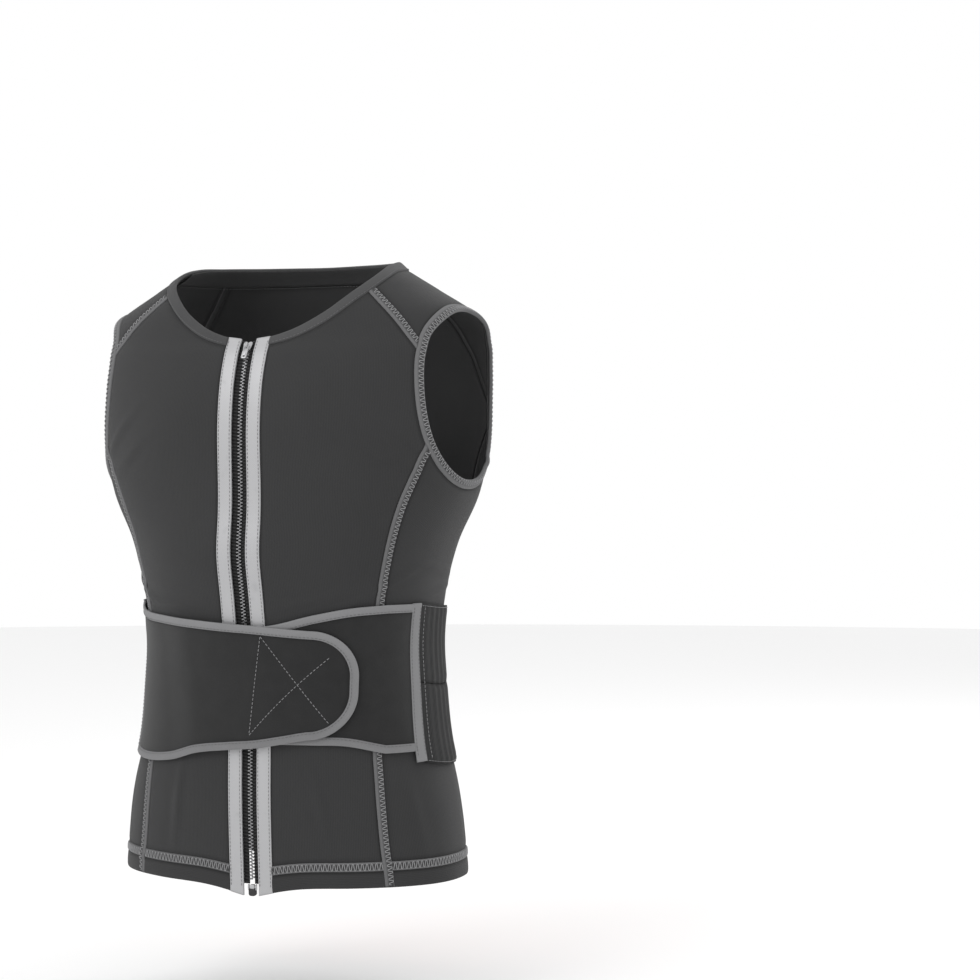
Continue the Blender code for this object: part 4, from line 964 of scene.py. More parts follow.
# Lines on the torso from which every piece is cut
HALF_SEAM = SEAM_WIDTH / 2
TUCK = 0.0020
neck_edge = edge_round(NECK_EDGE)
neck_inner = moved_sideways(neck_edge, NECK_BINDING)
neck_tuck = moved_sideways(neck_edge, NECK_BINDING - TUCK)
neck_start = edge_round(NECK_EDGE, 0.0, 30.0)
hem_edge = edge_round(HEM_EDGE)
hem_seam_line = moved_sideways(hem_edge, -HEM_TURN)
hem_tuck = moved_sideways(hem_seam_line, -HALF_SEAM + TUCK)
hem_border = moved_sideways(hem_seam_line, -HALF_SEAM)
arm_edge = armhole_loop()
arm_outer = moved_sideways(arm_edge, ARMHOLE_BINDING, closed=True)
arm_tuck = moved_sideways(arm_edge, ARMHOLE_BINDING - TUCK, closed=True)
front_shoulder = seam_at_angle(FRONT_SHOULDER)
back_shoulder = seam_at_angle(BACK_SHOULDER)
front_princess = seam_at_distance(FRONT_PRINCESS, 0, 90)
back_princess = seam_at_distance(BACK_PRINCESS, 90, 180)
strip_outer = ZIP_HALF_GAP + STRIP_WIDTH
panel_start = zip_line(strip_outer - TUCK)
middle_back = np.stack([np.full(201, math.pi), section_at(np.linspace(-0.021, 1.010, 201))], -1)
arm_from_back = rolled(arm_tuck, 0.75)
arm_from_bottom = rolled(arm_tuck, 0.5)
PANEL_SIDE = HALF_SEAM - TUCK


# Cloth panels
def panel(name, left, right, top, bottom, steps, mirror=False, both=False, paint=None):
    """A panel between four edge lines: its spots blend the edges, its lift is the cloth's
    thickness, less a dip along the edges where the seam bands press it."""
    rows, columns = steps
    spot = patch(evenly(left, rows), evenly(right, rows), evenly(top, columns),
                 evenly(bottom, columns))
    if both:
        other = spot[:, -2::-1] * np.array([-1.0, 1.0]) + np.array([2 * math.pi, 0.0])
        spot = np.concatenate([spot, other], 1)
    if mirror:
        spot = spot * np.array([-1.0, 1.0])
    over, down = grid_sizes(lifted(spot))
    inside = np.minimum(np.minimum(over, over[:, -1:] - over),
                        np.minimum(down, down[-1:] - down))
    dip = 0.0010 * np.exp(-(inside / 0.0042)**2)
    points = draped(spot, CLOTH - dip)
    # Painted shade: a dark line just inside the panel's edges, beside the seam bands, kept as its
    # seam mark.
    painted_shade = np.exp(-((inside - TUCK) / 0.0016)**2)
    made = piece(name, grid_form(points, values={"seam": painted_shade}), paint or VEST_KNIT,
                 "vest_fabric", stands_for=[name], closed=False, wall=CLOTH - 0.0003)
    width, length = float(over[:, -1].mean()), float(down[-1].mean())
    area = float(np.linalg.norm(np.cross(points[1:, 1:] - points[:-1, :-1],
                                         points[1:, :-1] - points[:-1, 1:]), axis=-1).sum() / 2)
    return made


def make_panels():
    """Front, side and shoulder panels on both sides, and the back in one piece."""
    front_side = moved_sideways(front_shoulder, PANEL_SIDE)
    princess_front = moved_sideways(front_princess, PANEL_SIDE)
    shoulder_part = between(front_side, neck_tuck, arm_tuck)
    arm_part = between(arm_tuck, front_side, princess_front)
    princess_part = between(princess_front, arm_from_bottom, hem_tuck, True)
    outer = chained(evenly(shoulder_part, 60), evenly(arm_part, 60), evenly(princess_part, 150))
    front = (between(panel_start, neck_tuck, hem_tuck), outer,
             between(neck_tuck, panel_start, front_side),
             between(hem_tuck, panel_start, princess_front))
    princess_rear = moved_sideways(front_princess, -PANEL_SIDE)
    back_princess_front = moved_sideways(back_princess, PANEL_SIDE)
    side = (between(princess_rear, arm_tuck, hem_tuck),
            between(back_princess_front, arm_tuck, hem_tuck),
            between(arm_tuck, princess_rear, back_princess_front),
            between(hem_tuck, princess_rear, back_princess_front))
    shoulder_rear = moved_sideways(front_shoulder, -PANEL_SIDE)
    back_shoulder_front = moved_sideways(back_shoulder, PANEL_SIDE)
    yoke = (between(shoulder_rear, neck_tuck, arm_tuck),
            between(back_shoulder_front, neck_tuck, arm_tuck),
            between(neck_tuck, shoulder_rear, back_shoulder_front),
            between(arm_from_bottom, back_shoulder_front, shoulder_rear)[::-1])
    for word, mirror in (("left", False), ("right", True)):
        panel("front_panel_" + word, *front, (150, 54), mirror)
        panel("side_panel_" + word, *side, (120, 54), mirror)
        panel("shoulder_yoke_" + word, *yoke, (40, 54), mirror)
    shoulder_back = moved_sideways(back_shoulder, -PANEL_SIDE)
    princess_back = moved_sideways(back_princess, -PANEL_SIDE)
    shoulder_part = between(shoulder_back, neck_tuck, arm_tuck)
    arm_part = between(arm_from_bottom, princess_back, shoulder_back)[::-1]
    princess_part = between(princess_back, arm_tuck, hem_tuck, True)
    outer = chained(evenly(shoulder_part, 60), evenly(arm_part, 60), evenly(princess_part, 150))
    panel("back_panel", outer, between(middle_back, neck_tuck, hem_tuck),
          between(neck_tuck, shoulder_back, middle_back),
          between(hem_tuck, princess_back, middle_back), (150, 46), both=True)


# Bands, bindings and strips
def bar_ring(low, high, crown=0.0, count=28, squareness=5.0, valley=0.0, valley_at=0.5):
    """A flat bar's cross-section as shares across and lifts: a superellipse with a crown.

    A valley is a bell-shaped dip in its top at one share across."""
    turn = np.linspace(0, 2 * math.pi, count, endpoint=False)
    cosine, sine = np.cos(turn), np.sin(turn)
    share = 0.5 + 0.5 * np.sign(cosine) * np.abs(cosine)**(2 / squareness)
    rise = np.sign(sine) * np.abs(sine)**(2 / squareness)
    lift = (low + high) / 2 + rise * (high - low) / 2
    top = np.clip(rise, 0, 1)
    lift = lift + top * crown * (1 - (2 * share - 1)**2)
    lift = lift - top * valley * np.exp(-((share - valley_at) / 0.07)**2)
    return share, lift


def strap(first, second, ring, rows, rise=None, folded=True, closed=False, values=None):
    """A cross-section carried between two edge lines: each place is the mean of the edges'
    spots weighted by its share across, then lifted."""
    share, lift = ring
    first, second = evenly(first, rows), evenly(second, rows)
    if closed:
        first, second = first[:-1], second[:-1]
    spot = first[:, None] * (1 - share)[None, :, None] + second[:, None] * share[None, :, None]
    lift = np.broadcast_to(lift, spot.shape[:2])
    if rise is not None:
        lift = lift + rise(spot)
    points = draped(spot, lift) if folded else lifted(spot, lift)
    marks = {}
    if values is not None:
        marks = {word: np.broadcast_to(value(share), spot.shape[:2]).ravel()
                 for word, value in values.items()}
    if closed:
        return grid_form(points, True, True, marks)
    return capped(points, marks)


def ladder_share(low, high):
    """A mark that is 1 between two shares across and falls off smoothly outside them."""
    def mark(share):
        return np.clip((share - low) / 0.05, 0, 1) * np.clip((high - share) / 0.05, 0, 1)
    return mark


def ladder(course, inner, outer, lift, pitch=0.0023, radius=0.00042, closed=False,
           start=0.0015):
    """One thread that runs over and back across a band: its distance across is a rounded
    square wave of the length run, and its height dips at each turn."""
    end = course.length if closed else course.length - start
    periods = max(2, round((end - start * (not closed)) / (2 * pitch)))
    phase = np.linspace(0, periods, periods * 8 + 1)
    wave = np.tanh(2.6 * np.sin(2 * math.pi * phase)) / np.tanh(2.6)
    first = 0.0 if closed else start
    along = first + (end - first) * phase / periods
    across = (inner + outer) / 2 + (outer - inner) / 2 * wave
    height = lift - radius * 0.6 * np.abs(wave)**8
    path = course.at(along, across, height)
    normals = outward(*np.moveaxis(course.spot(along, across), -1, 0))
    return tubes(path[None], radius, normals[None], sides=5)


def stitches(course, across, lift, pitch=0.0038, length=0.0026, radius=0.00030, start=0.004,
             end=None):
    """A row of separate stitches: each a short thread bowed up in the middle."""
    last = course.length - start if end is None else end
    count = max(1, int((last - start) / pitch))
    begin = start + np.arange(count)[:, None] * pitch
    share = np.linspace(0, 1, 5)[None]
    along = begin + share * length
    height = lift + radius * (1.5 * np.sin(math.pi * share) - 0.9)
    places = np.broadcast_arrays(along, np.full(along.shape, across), height + along * 0)
    path = course.at(*places)
    normals = outward(*np.moveaxis(course.spot(places[0], places[1]), -1, 0))
    return tubes(path, radius, normals, sides=5)


def both_sides(name, form, paint, slot, stands=True, **settings):
    """The same form on the wearer's left and right."""
    for word, one in (("left", form), ("right", form.mirrored())):
        full = f"{name}_{word}"
        piece(full, one, paint, slot, stands_for=[full] if stands else (), **settings)


def seam(name, line, start, end, rows, rise=None, ladder_front=False, stands=True, low=0.0006,
         high=SEAM, last_end=False):
    """A flatlock seam: a low band over the joint, and a ladder of thread over one half."""
    front = between(moved_sideways(line, HALF_SEAM), start, end, last_end)
    rear = between(moved_sideways(line, -HALF_SEAM), start, end, last_end)
    shares = (0.04, 0.56) if ladder_front else (0.44, 0.96)
    ring = bar_ring(low, high - 0.0002, 0.0004, valley=0.0005,
                    valley_at=0.60 if ladder_front else 0.40)
    form = strap(front, rear, ring, rows, rise, values={"ladder": ladder_share(*shares)})
    both_sides(name, form, SEAM_BAND, "seam_thread", stands)
    course = Course(between(line, start, end, last_end), rise=rise)
    inner, outer = [HALF_SEAM * (1 - 2 * share) for share in shares]
    thread = ladder(course, inner * 0.92, outer * 0.92, high + 0.00015)
    both_sides(name + "_ladder", thread, SEAM_THREAD, "seam_thread", False)


def over_hem(spot):
    """Extra rise of a seam where it passes over the hem seam: a bell of its distance."""
    below = np.interp(spot[..., 0], hem_edge[:, 0], smooth_column(DROP, hem_edge[:, 1]))
    away = (below - smooth_column(DROP, spot[..., 1])) * BACK_LENGTH - HEM_TURN
    return 0.0013 * np.exp(-(away / 0.0065)**4) + 0.0002 * (away < 0)


def make_seams():
    """Shoulder seams and long seams; the long ones run over the hem to its edge."""
    seam("shoulder_seam_front", front_shoulder, neck_inner, arm_outer, 60)
    seam("shoulder_seam_back", back_shoulder, neck_inner, arm_outer, 60)
    hem_end = moved_sideways(hem_edge, -0.0012)
    seam("princess_seam_front", front_princess, arm_outer, hem_end, 160, over_hem,
         last_end=True)
    seam("princess_seam_back", back_princess, arm_outer, hem_end, 160, over_hem,
         ladder_front=True, last_end=True)


def make_edges():
    """Hem, hem seam, neck binding, armhole bindings, neck facing and pocket band."""
    start = zip_line(strip_outer - 0.0004)
    hem_top = between(moved_sideways(hem_seam_line, HALF_SEAM - TUCK), start, middle_back)
    hem_low = between(hem_edge, start, middle_back)
    share, lift = bar_ring(0.0001, CLOTH, 0.0003, 32, 3.4)
    # Painted shade: a dark line along the hem band's top, under the hem seam.
    painted_shade = {"seam": lambda at: np.exp(-((at - 0.15) / 0.07)**2) * 0.9}
    form = strap(whole(hem_top), whole(hem_low), (share, lift), 420, values=painted_shade)
    piece("hem_band", form, HEM_KNIT, "vest_fabric", stands_for=["hem_band"])
    seam_top = between(moved_sideways(hem_seam_line, -HALF_SEAM), start, middle_back)
    seam_low = between(moved_sideways(hem_seam_line, HALF_SEAM), start, middle_back)
    ring = bar_ring(0.0006, SEAM - 0.0002, 0.0003)
    form = strap(whole(seam_top), whole(seam_low), ring, 420,
                 values={"ladder": ladder_share(0.14, 0.86)})
    piece("hem_seam", form, SEAM_BAND, "seam_thread", stands_for=["hem_seam"])
    course = Course(whole(between(hem_seam_line, start, middle_back)))
    piece("hem_seam_ladder", ladder(course, -0.0032, 0.0032, SEAM + 0.00015), SEAM_THREAD,
          "seam_thread")
    inner = between(neck_edge, start, middle_back)
    outer = between(neck_inner, start, middle_back)
    ring = bar_ring(-0.0002, EDGE - 0.0003, 0.0003, 32, 3.6)
    piece("neck_binding", strap(whole(inner), whole(outer), ring, 300), NECK_BAND,
          "dark_binding", stands_for=["neck_binding"])
    course = Course(whole(outer))
    piece("neck_stitching", stitches(course, -0.0016, EDGE - 0.0002, radius=0.00028),
          EDGE_THREAD, "dark_binding")
    ring = bar_ring(-0.0003, EDGE - 0.0003, 0.0003, 32, 3.6, valley=0.0005, valley_at=0.60)
    form = strap(arm_edge, arm_outer, ring, 260, closed=True,
                 values={"ladder": ladder_share(0.10, 0.58)})
    both_sides("armhole_binding", form, ARM_BAND, "seam_thread")
    thread = ladder(Course(arm_edge, closed=True), 0.0012, 0.0056, EDGE + 0.0001, closed=True)
    both_sides("armhole_ladder", thread, SEAM_THREAD, "seam_thread", False)
    facing_start = np.stack([np.full(201, math.radians(80)), middle_back[:, 1]], -1)
    lines = [evenly(whole(between(moved_sideways(neck_edge, 0.0004 + FACING_DEPTH * k),
                                  facing_start, middle_back)), 160)
             for k in np.linspace(0, 1, 8)]
    spot = np.stack(lines, 1)
    bulge = 0.0004 * np.sin(np.linspace(0, math.pi, 8))[None]
    piece("back_neck_facing", grid_form(draped(spot, -0.0010 - bulge)), FACING_CLOTH,
          "dark_binding", stands_for=["back_neck_facing"], closed=False, wall=0.0009)
    course = Course(lines[-1])
    piece("facing_stitching", stitches(course, 0.0014, -0.0023, radius=0.00028), EDGE_THREAD,
          "dark_binding")
    section = section_at(np.full(61, POCKET_BAND_DROP / BACK_LENGTH))
    across = np.linspace(POCKET_BAND_LENGTH / 2, 0.0, 61)
    angle = angle_where(section, across, 0, 90, 180)
    line = whole(np.stack([np.append(angle[:-1], math.pi), section], -1))
    ring = bar_ring(CLOTH + 0.0004, CLOTH + 0.0017, 0.0002, 24, 4.0)
    form = strap(moved_sideways(line, -POCKET_BAND_WIDTH / 2),
                 moved_sideways(line, POCKET_BAND_WIDTH / 2), ring, 120)
    piece("pocket_band", form, BELT_BAND, "grey_binding", stands_for=["pocket_band"])
    course = Course(line)
    rows = [stitches(course, side * 0.0030, CLOTH + 0.0018) for side in (-1, 1)]
    piece("pocket_stitching", joined(rows), EDGE_THREAD, "grey_binding")


# Front zip
def zip_axes(drop):
    """Origins and axes on the zip's middle line: across, up the chain and outward."""
    section = section_at(np.atleast_1d(drop))
    spot = np.stack([np.zeros(section.shape), section], -1)
    normal = outward(spot[:, 0], spot[:, 1])
    across = np.broadcast_to(np.array([1.0, 0.0, 0.0]), normal.shape)
    up = np.cross(normal, across)
    return lifted(spot), np.stack([across, up, normal], 1)


def slab(outline, levels):
    """A flat solid: rings of the outline at each level, moved inward by the level's inset."""
    tangent = unit(np.roll(outline, -1, axis=0) - np.roll(outline, 1, axis=0))
    area = (outline[:, 0] * np.roll(outline[:, 1], -1)
            - outline[:, 1] * np.roll(outline[:, 0], -1)).sum()
    inward = np.stack([-tangent[:, 1], tangent[:, 0]], -1) * np.sign(area)
    rings = [np.column_stack([outline + inward * inset, np.full(len(outline), height)])
             for height, inset in levels]
    return capped(np.array(rings))


def bevelled(low, high, bevel):
    """Levels of a slab with rounded edges: height and inset, on a quarter circle each."""
    turn = np.linspace(0, math.pi / 2, 4)
    under = [(low + bevel * (1 - math.sin(t)), bevel * (1 - math.cos(t))) for t in turn[::-1]]
    over = [(high - bevel * (1 - math.sin(t)), bevel * (1 - math.cos(t))) for t in turn]
    return under + over


def rounded_box(width, length, squareness=6.0, count=40, pinch=0.0):
    """A superellipse outline, narrower at its lower end by the pinch."""
    turn = np.linspace(0, 2 * math.pi, count, endpoint=False)
    x = np.sign(np.cos(turn)) * np.abs(np.cos(turn))**(2 / squareness)
    y = np.sign(np.sin(turn)) * np.abs(np.sin(turn))**(2 / squareness)
    return np.stack([x * width / 2 * (1 - pinch * (1 - y) / 2), y * length / 2], -1)


def placed(form, origin, axes):
    """A form moved from its own axes to a frame."""
    return Form(origin + form.points @ axes, form.quads, form.quad_uv, form.triangles,
                form.values)


def tooth_form():
    """One zip tooth: rings at stations across the chain, with half sizes along and out."""
    stations = np.array([
        (-0.00035, 0.00050, 0.0009), (0.00015, 0.00098, 0.0014), (0.00080, 0.00080, 0.0013),
        (0.00130, 0.00062, 0.0014), (0.00205, 0.00098, 0.0017), (0.00245, 0.00080, 0.0014),
    ])
    turn = np.linspace(0, 2 * math.pi, 8, endpoint=False) + math.pi / 8
    wide = np.sign(np.cos(turn)) * np.abs(np.cos(turn))**0.6
    high = np.sign(np.sin(turn)) * np.abs(np.sin(turn))**0.6
    rings = np.stack([np.broadcast_to(stations[:, 0][:, None], (len(stations), 8)),
                      stations[:, 1][:, None] * wide, stations[:, 2][:, None] * high], -1)
    return capped(rings)


def make_zip():
    """Light strips, tapes, teeth, slider, tab and bottom box."""
    edges = [between(zip_line(x), neck_start, hem_edge) for x in (ZIP_HALF_GAP, strip_outer)]
    ring = bar_ring(0.0001, SEAM - 0.0001, 0.0001, 32, 6.0)
    both_sides("reflective_strip", strap(*edges, ring, 300), REFLECTIVE, "reflective")
    middle = Course(between(zip_line(ZIP_HALF_GAP + STRIP_WIDTH / 2), neck_start, hem_edge))
    rows = [stitches(middle, side * (STRIP_WIDTH / 2 - 0.0017), SEAM) for side in (-1, 1)]
    both_sides("strip_stitching", joined(rows), BELT_THREAD, "reflective", False)
    hem_drop = HEM_EDGE[0, 1]
    slider_drop = NECK_EDGE[0, 1] + SLIDER_DROP / BACK_LENGTH
    box_drop = hem_drop - (BOX_LENGTH + 0.0004) / BACK_LENGTH
    box_line = np.array([(0.0, section_at(box_drop)), (0.5, section_at(box_drop))])
    edges = [between(zip_line(x), neck_start, box_line) for x in (0.0026, 0.0141)]
    ring = bar_ring(-TAPE_CLEARANCE - TAPE_THICKNESS, -TAPE_CLEARANCE, 0.0, 20, 5.0)
    both_sides("zip_tape", strap(*edges, ring, 300), ZIP_TAPE, "zip_tape")
    centre = Course(between(zip_line(1e-5), neck_start, box_line), folded=False)
    chain_middle = -TAPE_CLEARANCE - TAPE_THICKNESS / 2
    tooth = tooth_form()
    first = SLIDER_DROP + 0.0030
    count = int((centre.length - first - 0.001) / TOOTH_PITCH)
    for word, side, shift in (("left", 1.0, 0.0), ("right", -1.0, TOOTH_PITCH / 2)):
        along = first + shift + np.arange(count) * TOOTH_PITCH
        sections = np.interp(along, centre.runs, centre.curve[:, 1])
        origins, axes = zip_axes(smooth_column(DROP, sections))
        origins = origins + axes[:, 2] * chain_middle
        axes = axes * np.array([side, 1.0, 1.0])[None, :, None]
        piece("zip_teeth_" + word, copies(tooth, origins, axes), TOOTH_METAL, "zip_metal",
              stands_for=["zip_teeth_" + word], sharp=40)
    make_slider(slider_drop, chain_middle)
    make_box(hem_drop, chain_middle)


def make_slider(slider_drop, chain_middle):
    """Slider of two plates, a post and an arch, and the pull tab that hangs from the arch."""
    origin, axes = zip_axes(slider_drop)
    origin, axes = origin[0], axes[0]
    top = chain_middle + PLATE_GAP / 2
    outline = rounded_box(SLIDER_WIDTH, SLIDER_LENGTH, 4.0, 48, 0.28)
    notch = np.exp(-(outline[:, 0] / 0.0012)**2) * (outline[:, 1] > 0)
    outline[:, 1] -= notch * 0.0016
    upper = slab(outline, bevelled(top, top + SLIDER_PLATE, 0.0004))
    lower = slab(outline, bevelled(chain_middle - PLATE_GAP / 2 - SLIDER_PLATE,
                                   chain_middle - PLATE_GAP / 2, 0.0004))
    post = slab(rounded_box(0.0026, 0.0028, 3.0, 24) + np.array([0.0, 0.0030]),
                [(chain_middle - PLATE_GAP / 2 - 0.0003, 0), (top + 0.0003, 0)])
    turn = np.linspace(0, math.pi, 17)
    reach = ARCH_LENGTH / 2 - ARCH_WALL / 2
    arch_path = np.stack([np.zeros(17), reach * np.cos(turn),
                          top + SLIDER_PLATE - 0.0004
                          + (ARCH_HEIGHT - ARCH_WALL / 2 + 0.0004) * np.sin(turn)**0.55], -1)
    arch = tubes(arch_path[None], ARCH_WALL * 0.62, np.tile([1.0, 0.0, 0.0], (1, 17, 1)), 10, 1.0)
    rails = [slab(rounded_box(0.0009, SLIDER_LENGTH * 0.8, 4.0, 20) + np.array([x, 0.0]),
                  bevelled(top + SLIDER_PLATE - 0.0002, top + SLIDER_PLATE + 0.0005, 0.0002))
             for x in (-0.0033, 0.0033)]
    form = placed(joined([upper, lower, post, arch] + rails), origin, axes)
    piece("zip_slider", form, SLIDER_METAL, "zip_metal", stands_for=["zip_slider"], sharp=50)
    pivot = origin + axes[2] * (top + SLIDER_PLATE + (ARCH_HEIGHT - ARCH_WALL) / 2)
    middle = np.array([0.0, -TAB_ARM_LENGTH - TAB_LENGTH / 2])
    outer = rounded_box(TAB_WIDTH, TAB_LENGTH, 4.5, 64, -0.10) + middle
    turn = np.linspace(0, 2 * math.pi, 64, endpoint=False)
    centre = middle - np.array([0.0, TAB_LENGTH / 2 - 3 * TAB_HOLE_RADIUS])
    hole = centre + TAB_HOLE_RADIUS * np.stack([np.cos(turn), np.sin(turn)], -1)
    half, ease = TAB_THICKNESS / 2, 0.00022
    shrink = unit(middle - outer) * ease
    grow = unit(hole - centre) * ease
    rings = [(outer + shrink, -half), (outer, -half + ease), (outer, half - ease),
             (outer + shrink, half), (hole + grow, half), (hole, half - ease),
             (hole, -half + ease), (hole + grow, -half)]
    points = np.array([np.column_stack([ring, np.full(64, height)]) for ring, height in rings])
    plate = grid_form(points, True, True)
    arm = np.linspace(0, 1, 9)
    arms = np.stack([np.stack([side * (TAB_WIDTH / 2 - 0.0006) + 0 * arm,
                               -arm * (TAB_ARM_LENGTH + 0.0012), 0 * arm], -1)
                     for side in (-1, 1)])
    upward = np.array([0.0, 0.0, 1.0])
    legs = tubes(arms, 0.00052, np.broadcast_to(upward, arms.shape), 8, 1.0)
    across = np.linspace(-1, 1, 9) * (TAB_WIDTH / 2 - 0.0005)
    bar_path = np.stack([across, 0 * across, 0 * across], -1)[None]
    bar = tubes(bar_path, 0.00048, np.broadcast_to(upward, bar_path.shape), 8, 1.0)
    rib = slab(rounded_box(TAB_WIDTH * 0.55, TAB_LENGTH * 0.46, 4.0, 32) + middle
               + np.array([0.0, 0.0014]), bevelled(-half - 0.00018, half + 0.00018, 0.00012))
    form = placed(joined([plate, legs, bar, rib]), pivot, axes)
    piece("zip_pull_tab", form, SLIDER_METAL, "zip_metal", body="pull_tab",
          stands_for=["zip_pull_tab"], sharp=50)


def make_box(hem_drop, chain_middle):
    """The retaining box at the zip's foot, with the pin above it and a light clip round it."""
    origin, axes = zip_axes(hem_drop - BOX_LENGTH / 2 / BACK_LENGTH)
    origin, axes = origin[0], axes[0]
    low, high = chain_middle - BOX_THICKNESS / 2, chain_middle + BOX_THICKNESS / 2
    shell = slab(rounded_box(BOX_WIDTH * 0.72, BOX_LENGTH * 0.66, 3.2, 40)
                 + np.array([0.0, -BOX_LENGTH * 0.17]), bevelled(low, high, 0.0010))
    piece("zip_bottom_box", placed(shell, origin, axes), BOX_METAL, "zip_metal",
          stands_for=["zip_bottom_box"], sharp=50)
    clip = slab(rounded_box(BOX_WIDTH * 0.46, 0.0046, 4.0, 32) + np.array([0.0, 0.0034]),
                bevelled(low + 0.0010, high - 0.0004, 0.0004))
    pins = [slab(rounded_box(0.0013, 0.0060, 4.0, 24) + np.array([x, 0.0028]),
                 bevelled(low + 0.0014, high - 0.0008, 0.0003)) for x in (-0.0042, 0.0042)]
    piece("zip_bottom_pin", placed(joined([clip] + pins), origin, axes), SLIDER_METAL,
          "zip_metal", sharp=50)


# Kidney belt
def belt_drops(angle):
    """Top and bottom edges of the belt at angles round the body, as shares of the length."""
    degrees = np.degrees(angle)
    degrees = np.where(degrees > 180, 360 - degrees, degrees)
    return table_curve(BELT_EDGES[:, :2], degrees), table_curve(BELT_EDGES[:, [0, 2]], degrees)


def belt_line(start, end, share, inset=0.0, count=161):
    """A line along the belt at a share of its height, moved down by the inset."""
    angle = np.linspace(start, end, count)
    top, bottom = belt_drops(angle)
    drop = top + (bottom - top) * share + inset / BACK_LENGTH
    return np.stack([angle, section_at(drop)], -1)


def belt_radius(angle):
    """Distance of the belt from the body's axis, which turns widths into angles."""
    top, bottom = belt_drops(np.array([angle]))
    return float(np.linalg.norm(torso(angle, section_at((top[0] + bottom[0]) / 2))[:2]))


def belt_sheet(name, spot, lift, paint, wall=BELT_THICKNESS - 0.0002, rolls=True):
    """A belt panel over a grid of spots, dipping at its edges under the bindings."""
    over, down = grid_sizes(lifted(spot))
    inside = np.minimum(np.minimum(over, over[:, -1:] - over),
                        np.minimum(down, down[-1:] - down))
    puff = 0.0007 * (1 - np.exp(-(inside / 0.010)**2)) - 0.0007
    points = lifted(spot, lift + BELT_THICKNESS + puff * rolls)
    # Painted shade: a dark line just inside the panel's edges, under the bindings.
    painted_shade = np.exp(-((inside - TUCK) / 0.0018)**2) * rolls
    return grid_form(points, values={"seam": painted_shade})


def declare_sheet(points, on):
    """Distances over and down a piece's own surface, worked out and not kept."""
    over, down = grid_sizes(points)


def grid_between(first, second, rows, columns):
    """Spots in rows from one line to another."""
    first, second = evenly(first, columns), evenly(second, columns)
    share = np.linspace(0, 1, rows + 1)[:, None, None]
    return first[None] * (1 - share) + second[None] * share


def make_belt_back():
    """Back of the belt with its bindings, upright strips, and the elastic at each side."""
    half = BACK_STRIP_WIDTH / 2 - TUCK
    start = BACK_STRIP_ANGLE + half / belt_radius(BACK_STRIP_ANGLE)
    end = 2 * math.pi - start
    tuck = BELT_BINDING - TUCK
    spot = grid_between(belt_line(start, end, 0, tuck), belt_line(start, end, 1, -tuck), 40, 110)
    form = belt_sheet("belt_back", spot, BELT_LIFT, BELT_CLOTH)
    made = piece("belt_back", form, BELT_CLOTH, "belt_fabric", stands_for=["belt_back"],
                 closed=False, wall=BELT_THICKNESS - 0.0004)
    declare_sheet(lifted(spot), ["back_panel"])
    ring = bar_ring(BELT_LIFT, BELT_LIFT + BINDING_THICKNESS - 0.0002, 0.0002, 28, 4.0)
    for word, share, near, far in (("top", 0, 0.0, BELT_BINDING), ("bottom", 1, -BELT_BINDING, 0)):
        name = "belt_back_binding_" + word
        form = strap(belt_line(start, end, share, near), belt_line(start, end, share, far), ring,
                     180, folded=False)
        piece(name, form, BELT_BAND, "grey_binding", stands_for=[name])
        sign = 1 if word == "top" else -1
        course = Course(belt_line(start, end, share, sign * (BELT_BINDING - 0.0018)),
                        folded=False)
        piece(name + "_stitching", stitches(course, 0.0, BELT_LIFT + BINDING_THICKNESS),
              EDGE_THREAD, "grey_binding")
    for angle, width, name, paint, slot in (
            (FRONT_STRIP_ANGLE, FRONT_STRIP_WIDTH, "belt_front_strip", BELT_BAND, "grey_binding"),
            (BACK_STRIP_ANGLE, BACK_STRIP_WIDTH, "belt_back_strip", REFLECTIVE, "reflective")):
        upright(name, angle, width, paint, slot)
    elastic_sides()


def upright(name, angle, width, paint, slot):
    """An upright strip across the belt, a little proud of it, with a stitch row each side."""
    top, bottom = belt_drops(np.array([angle]))
    drops = np.linspace(top[0], bottom[0], 81)
    line = np.stack([np.full(81, angle), section_at(drops)], -1)
    ring = bar_ring(BELT_LIFT + 0.0002, BELT_LIFT + BINDING_THICKNESS, 0.0002, 28, 4.5)
    form = strap(moved_sideways(line, width / 2), moved_sideways(line, -width / 2), ring, 80,
                 folded=False)
    both_sides(name, form, paint, slot)
    course = Course(line, folded=False)
    rows = [stitches(course, side * (width / 2 - 0.0016), BELT_LIFT + BINDING_THICKNESS + 0.0001)
            for side in (-1, 1)]
    both_sides(name + "_stitching", joined(rows), EDGE_THREAD, slot, False)


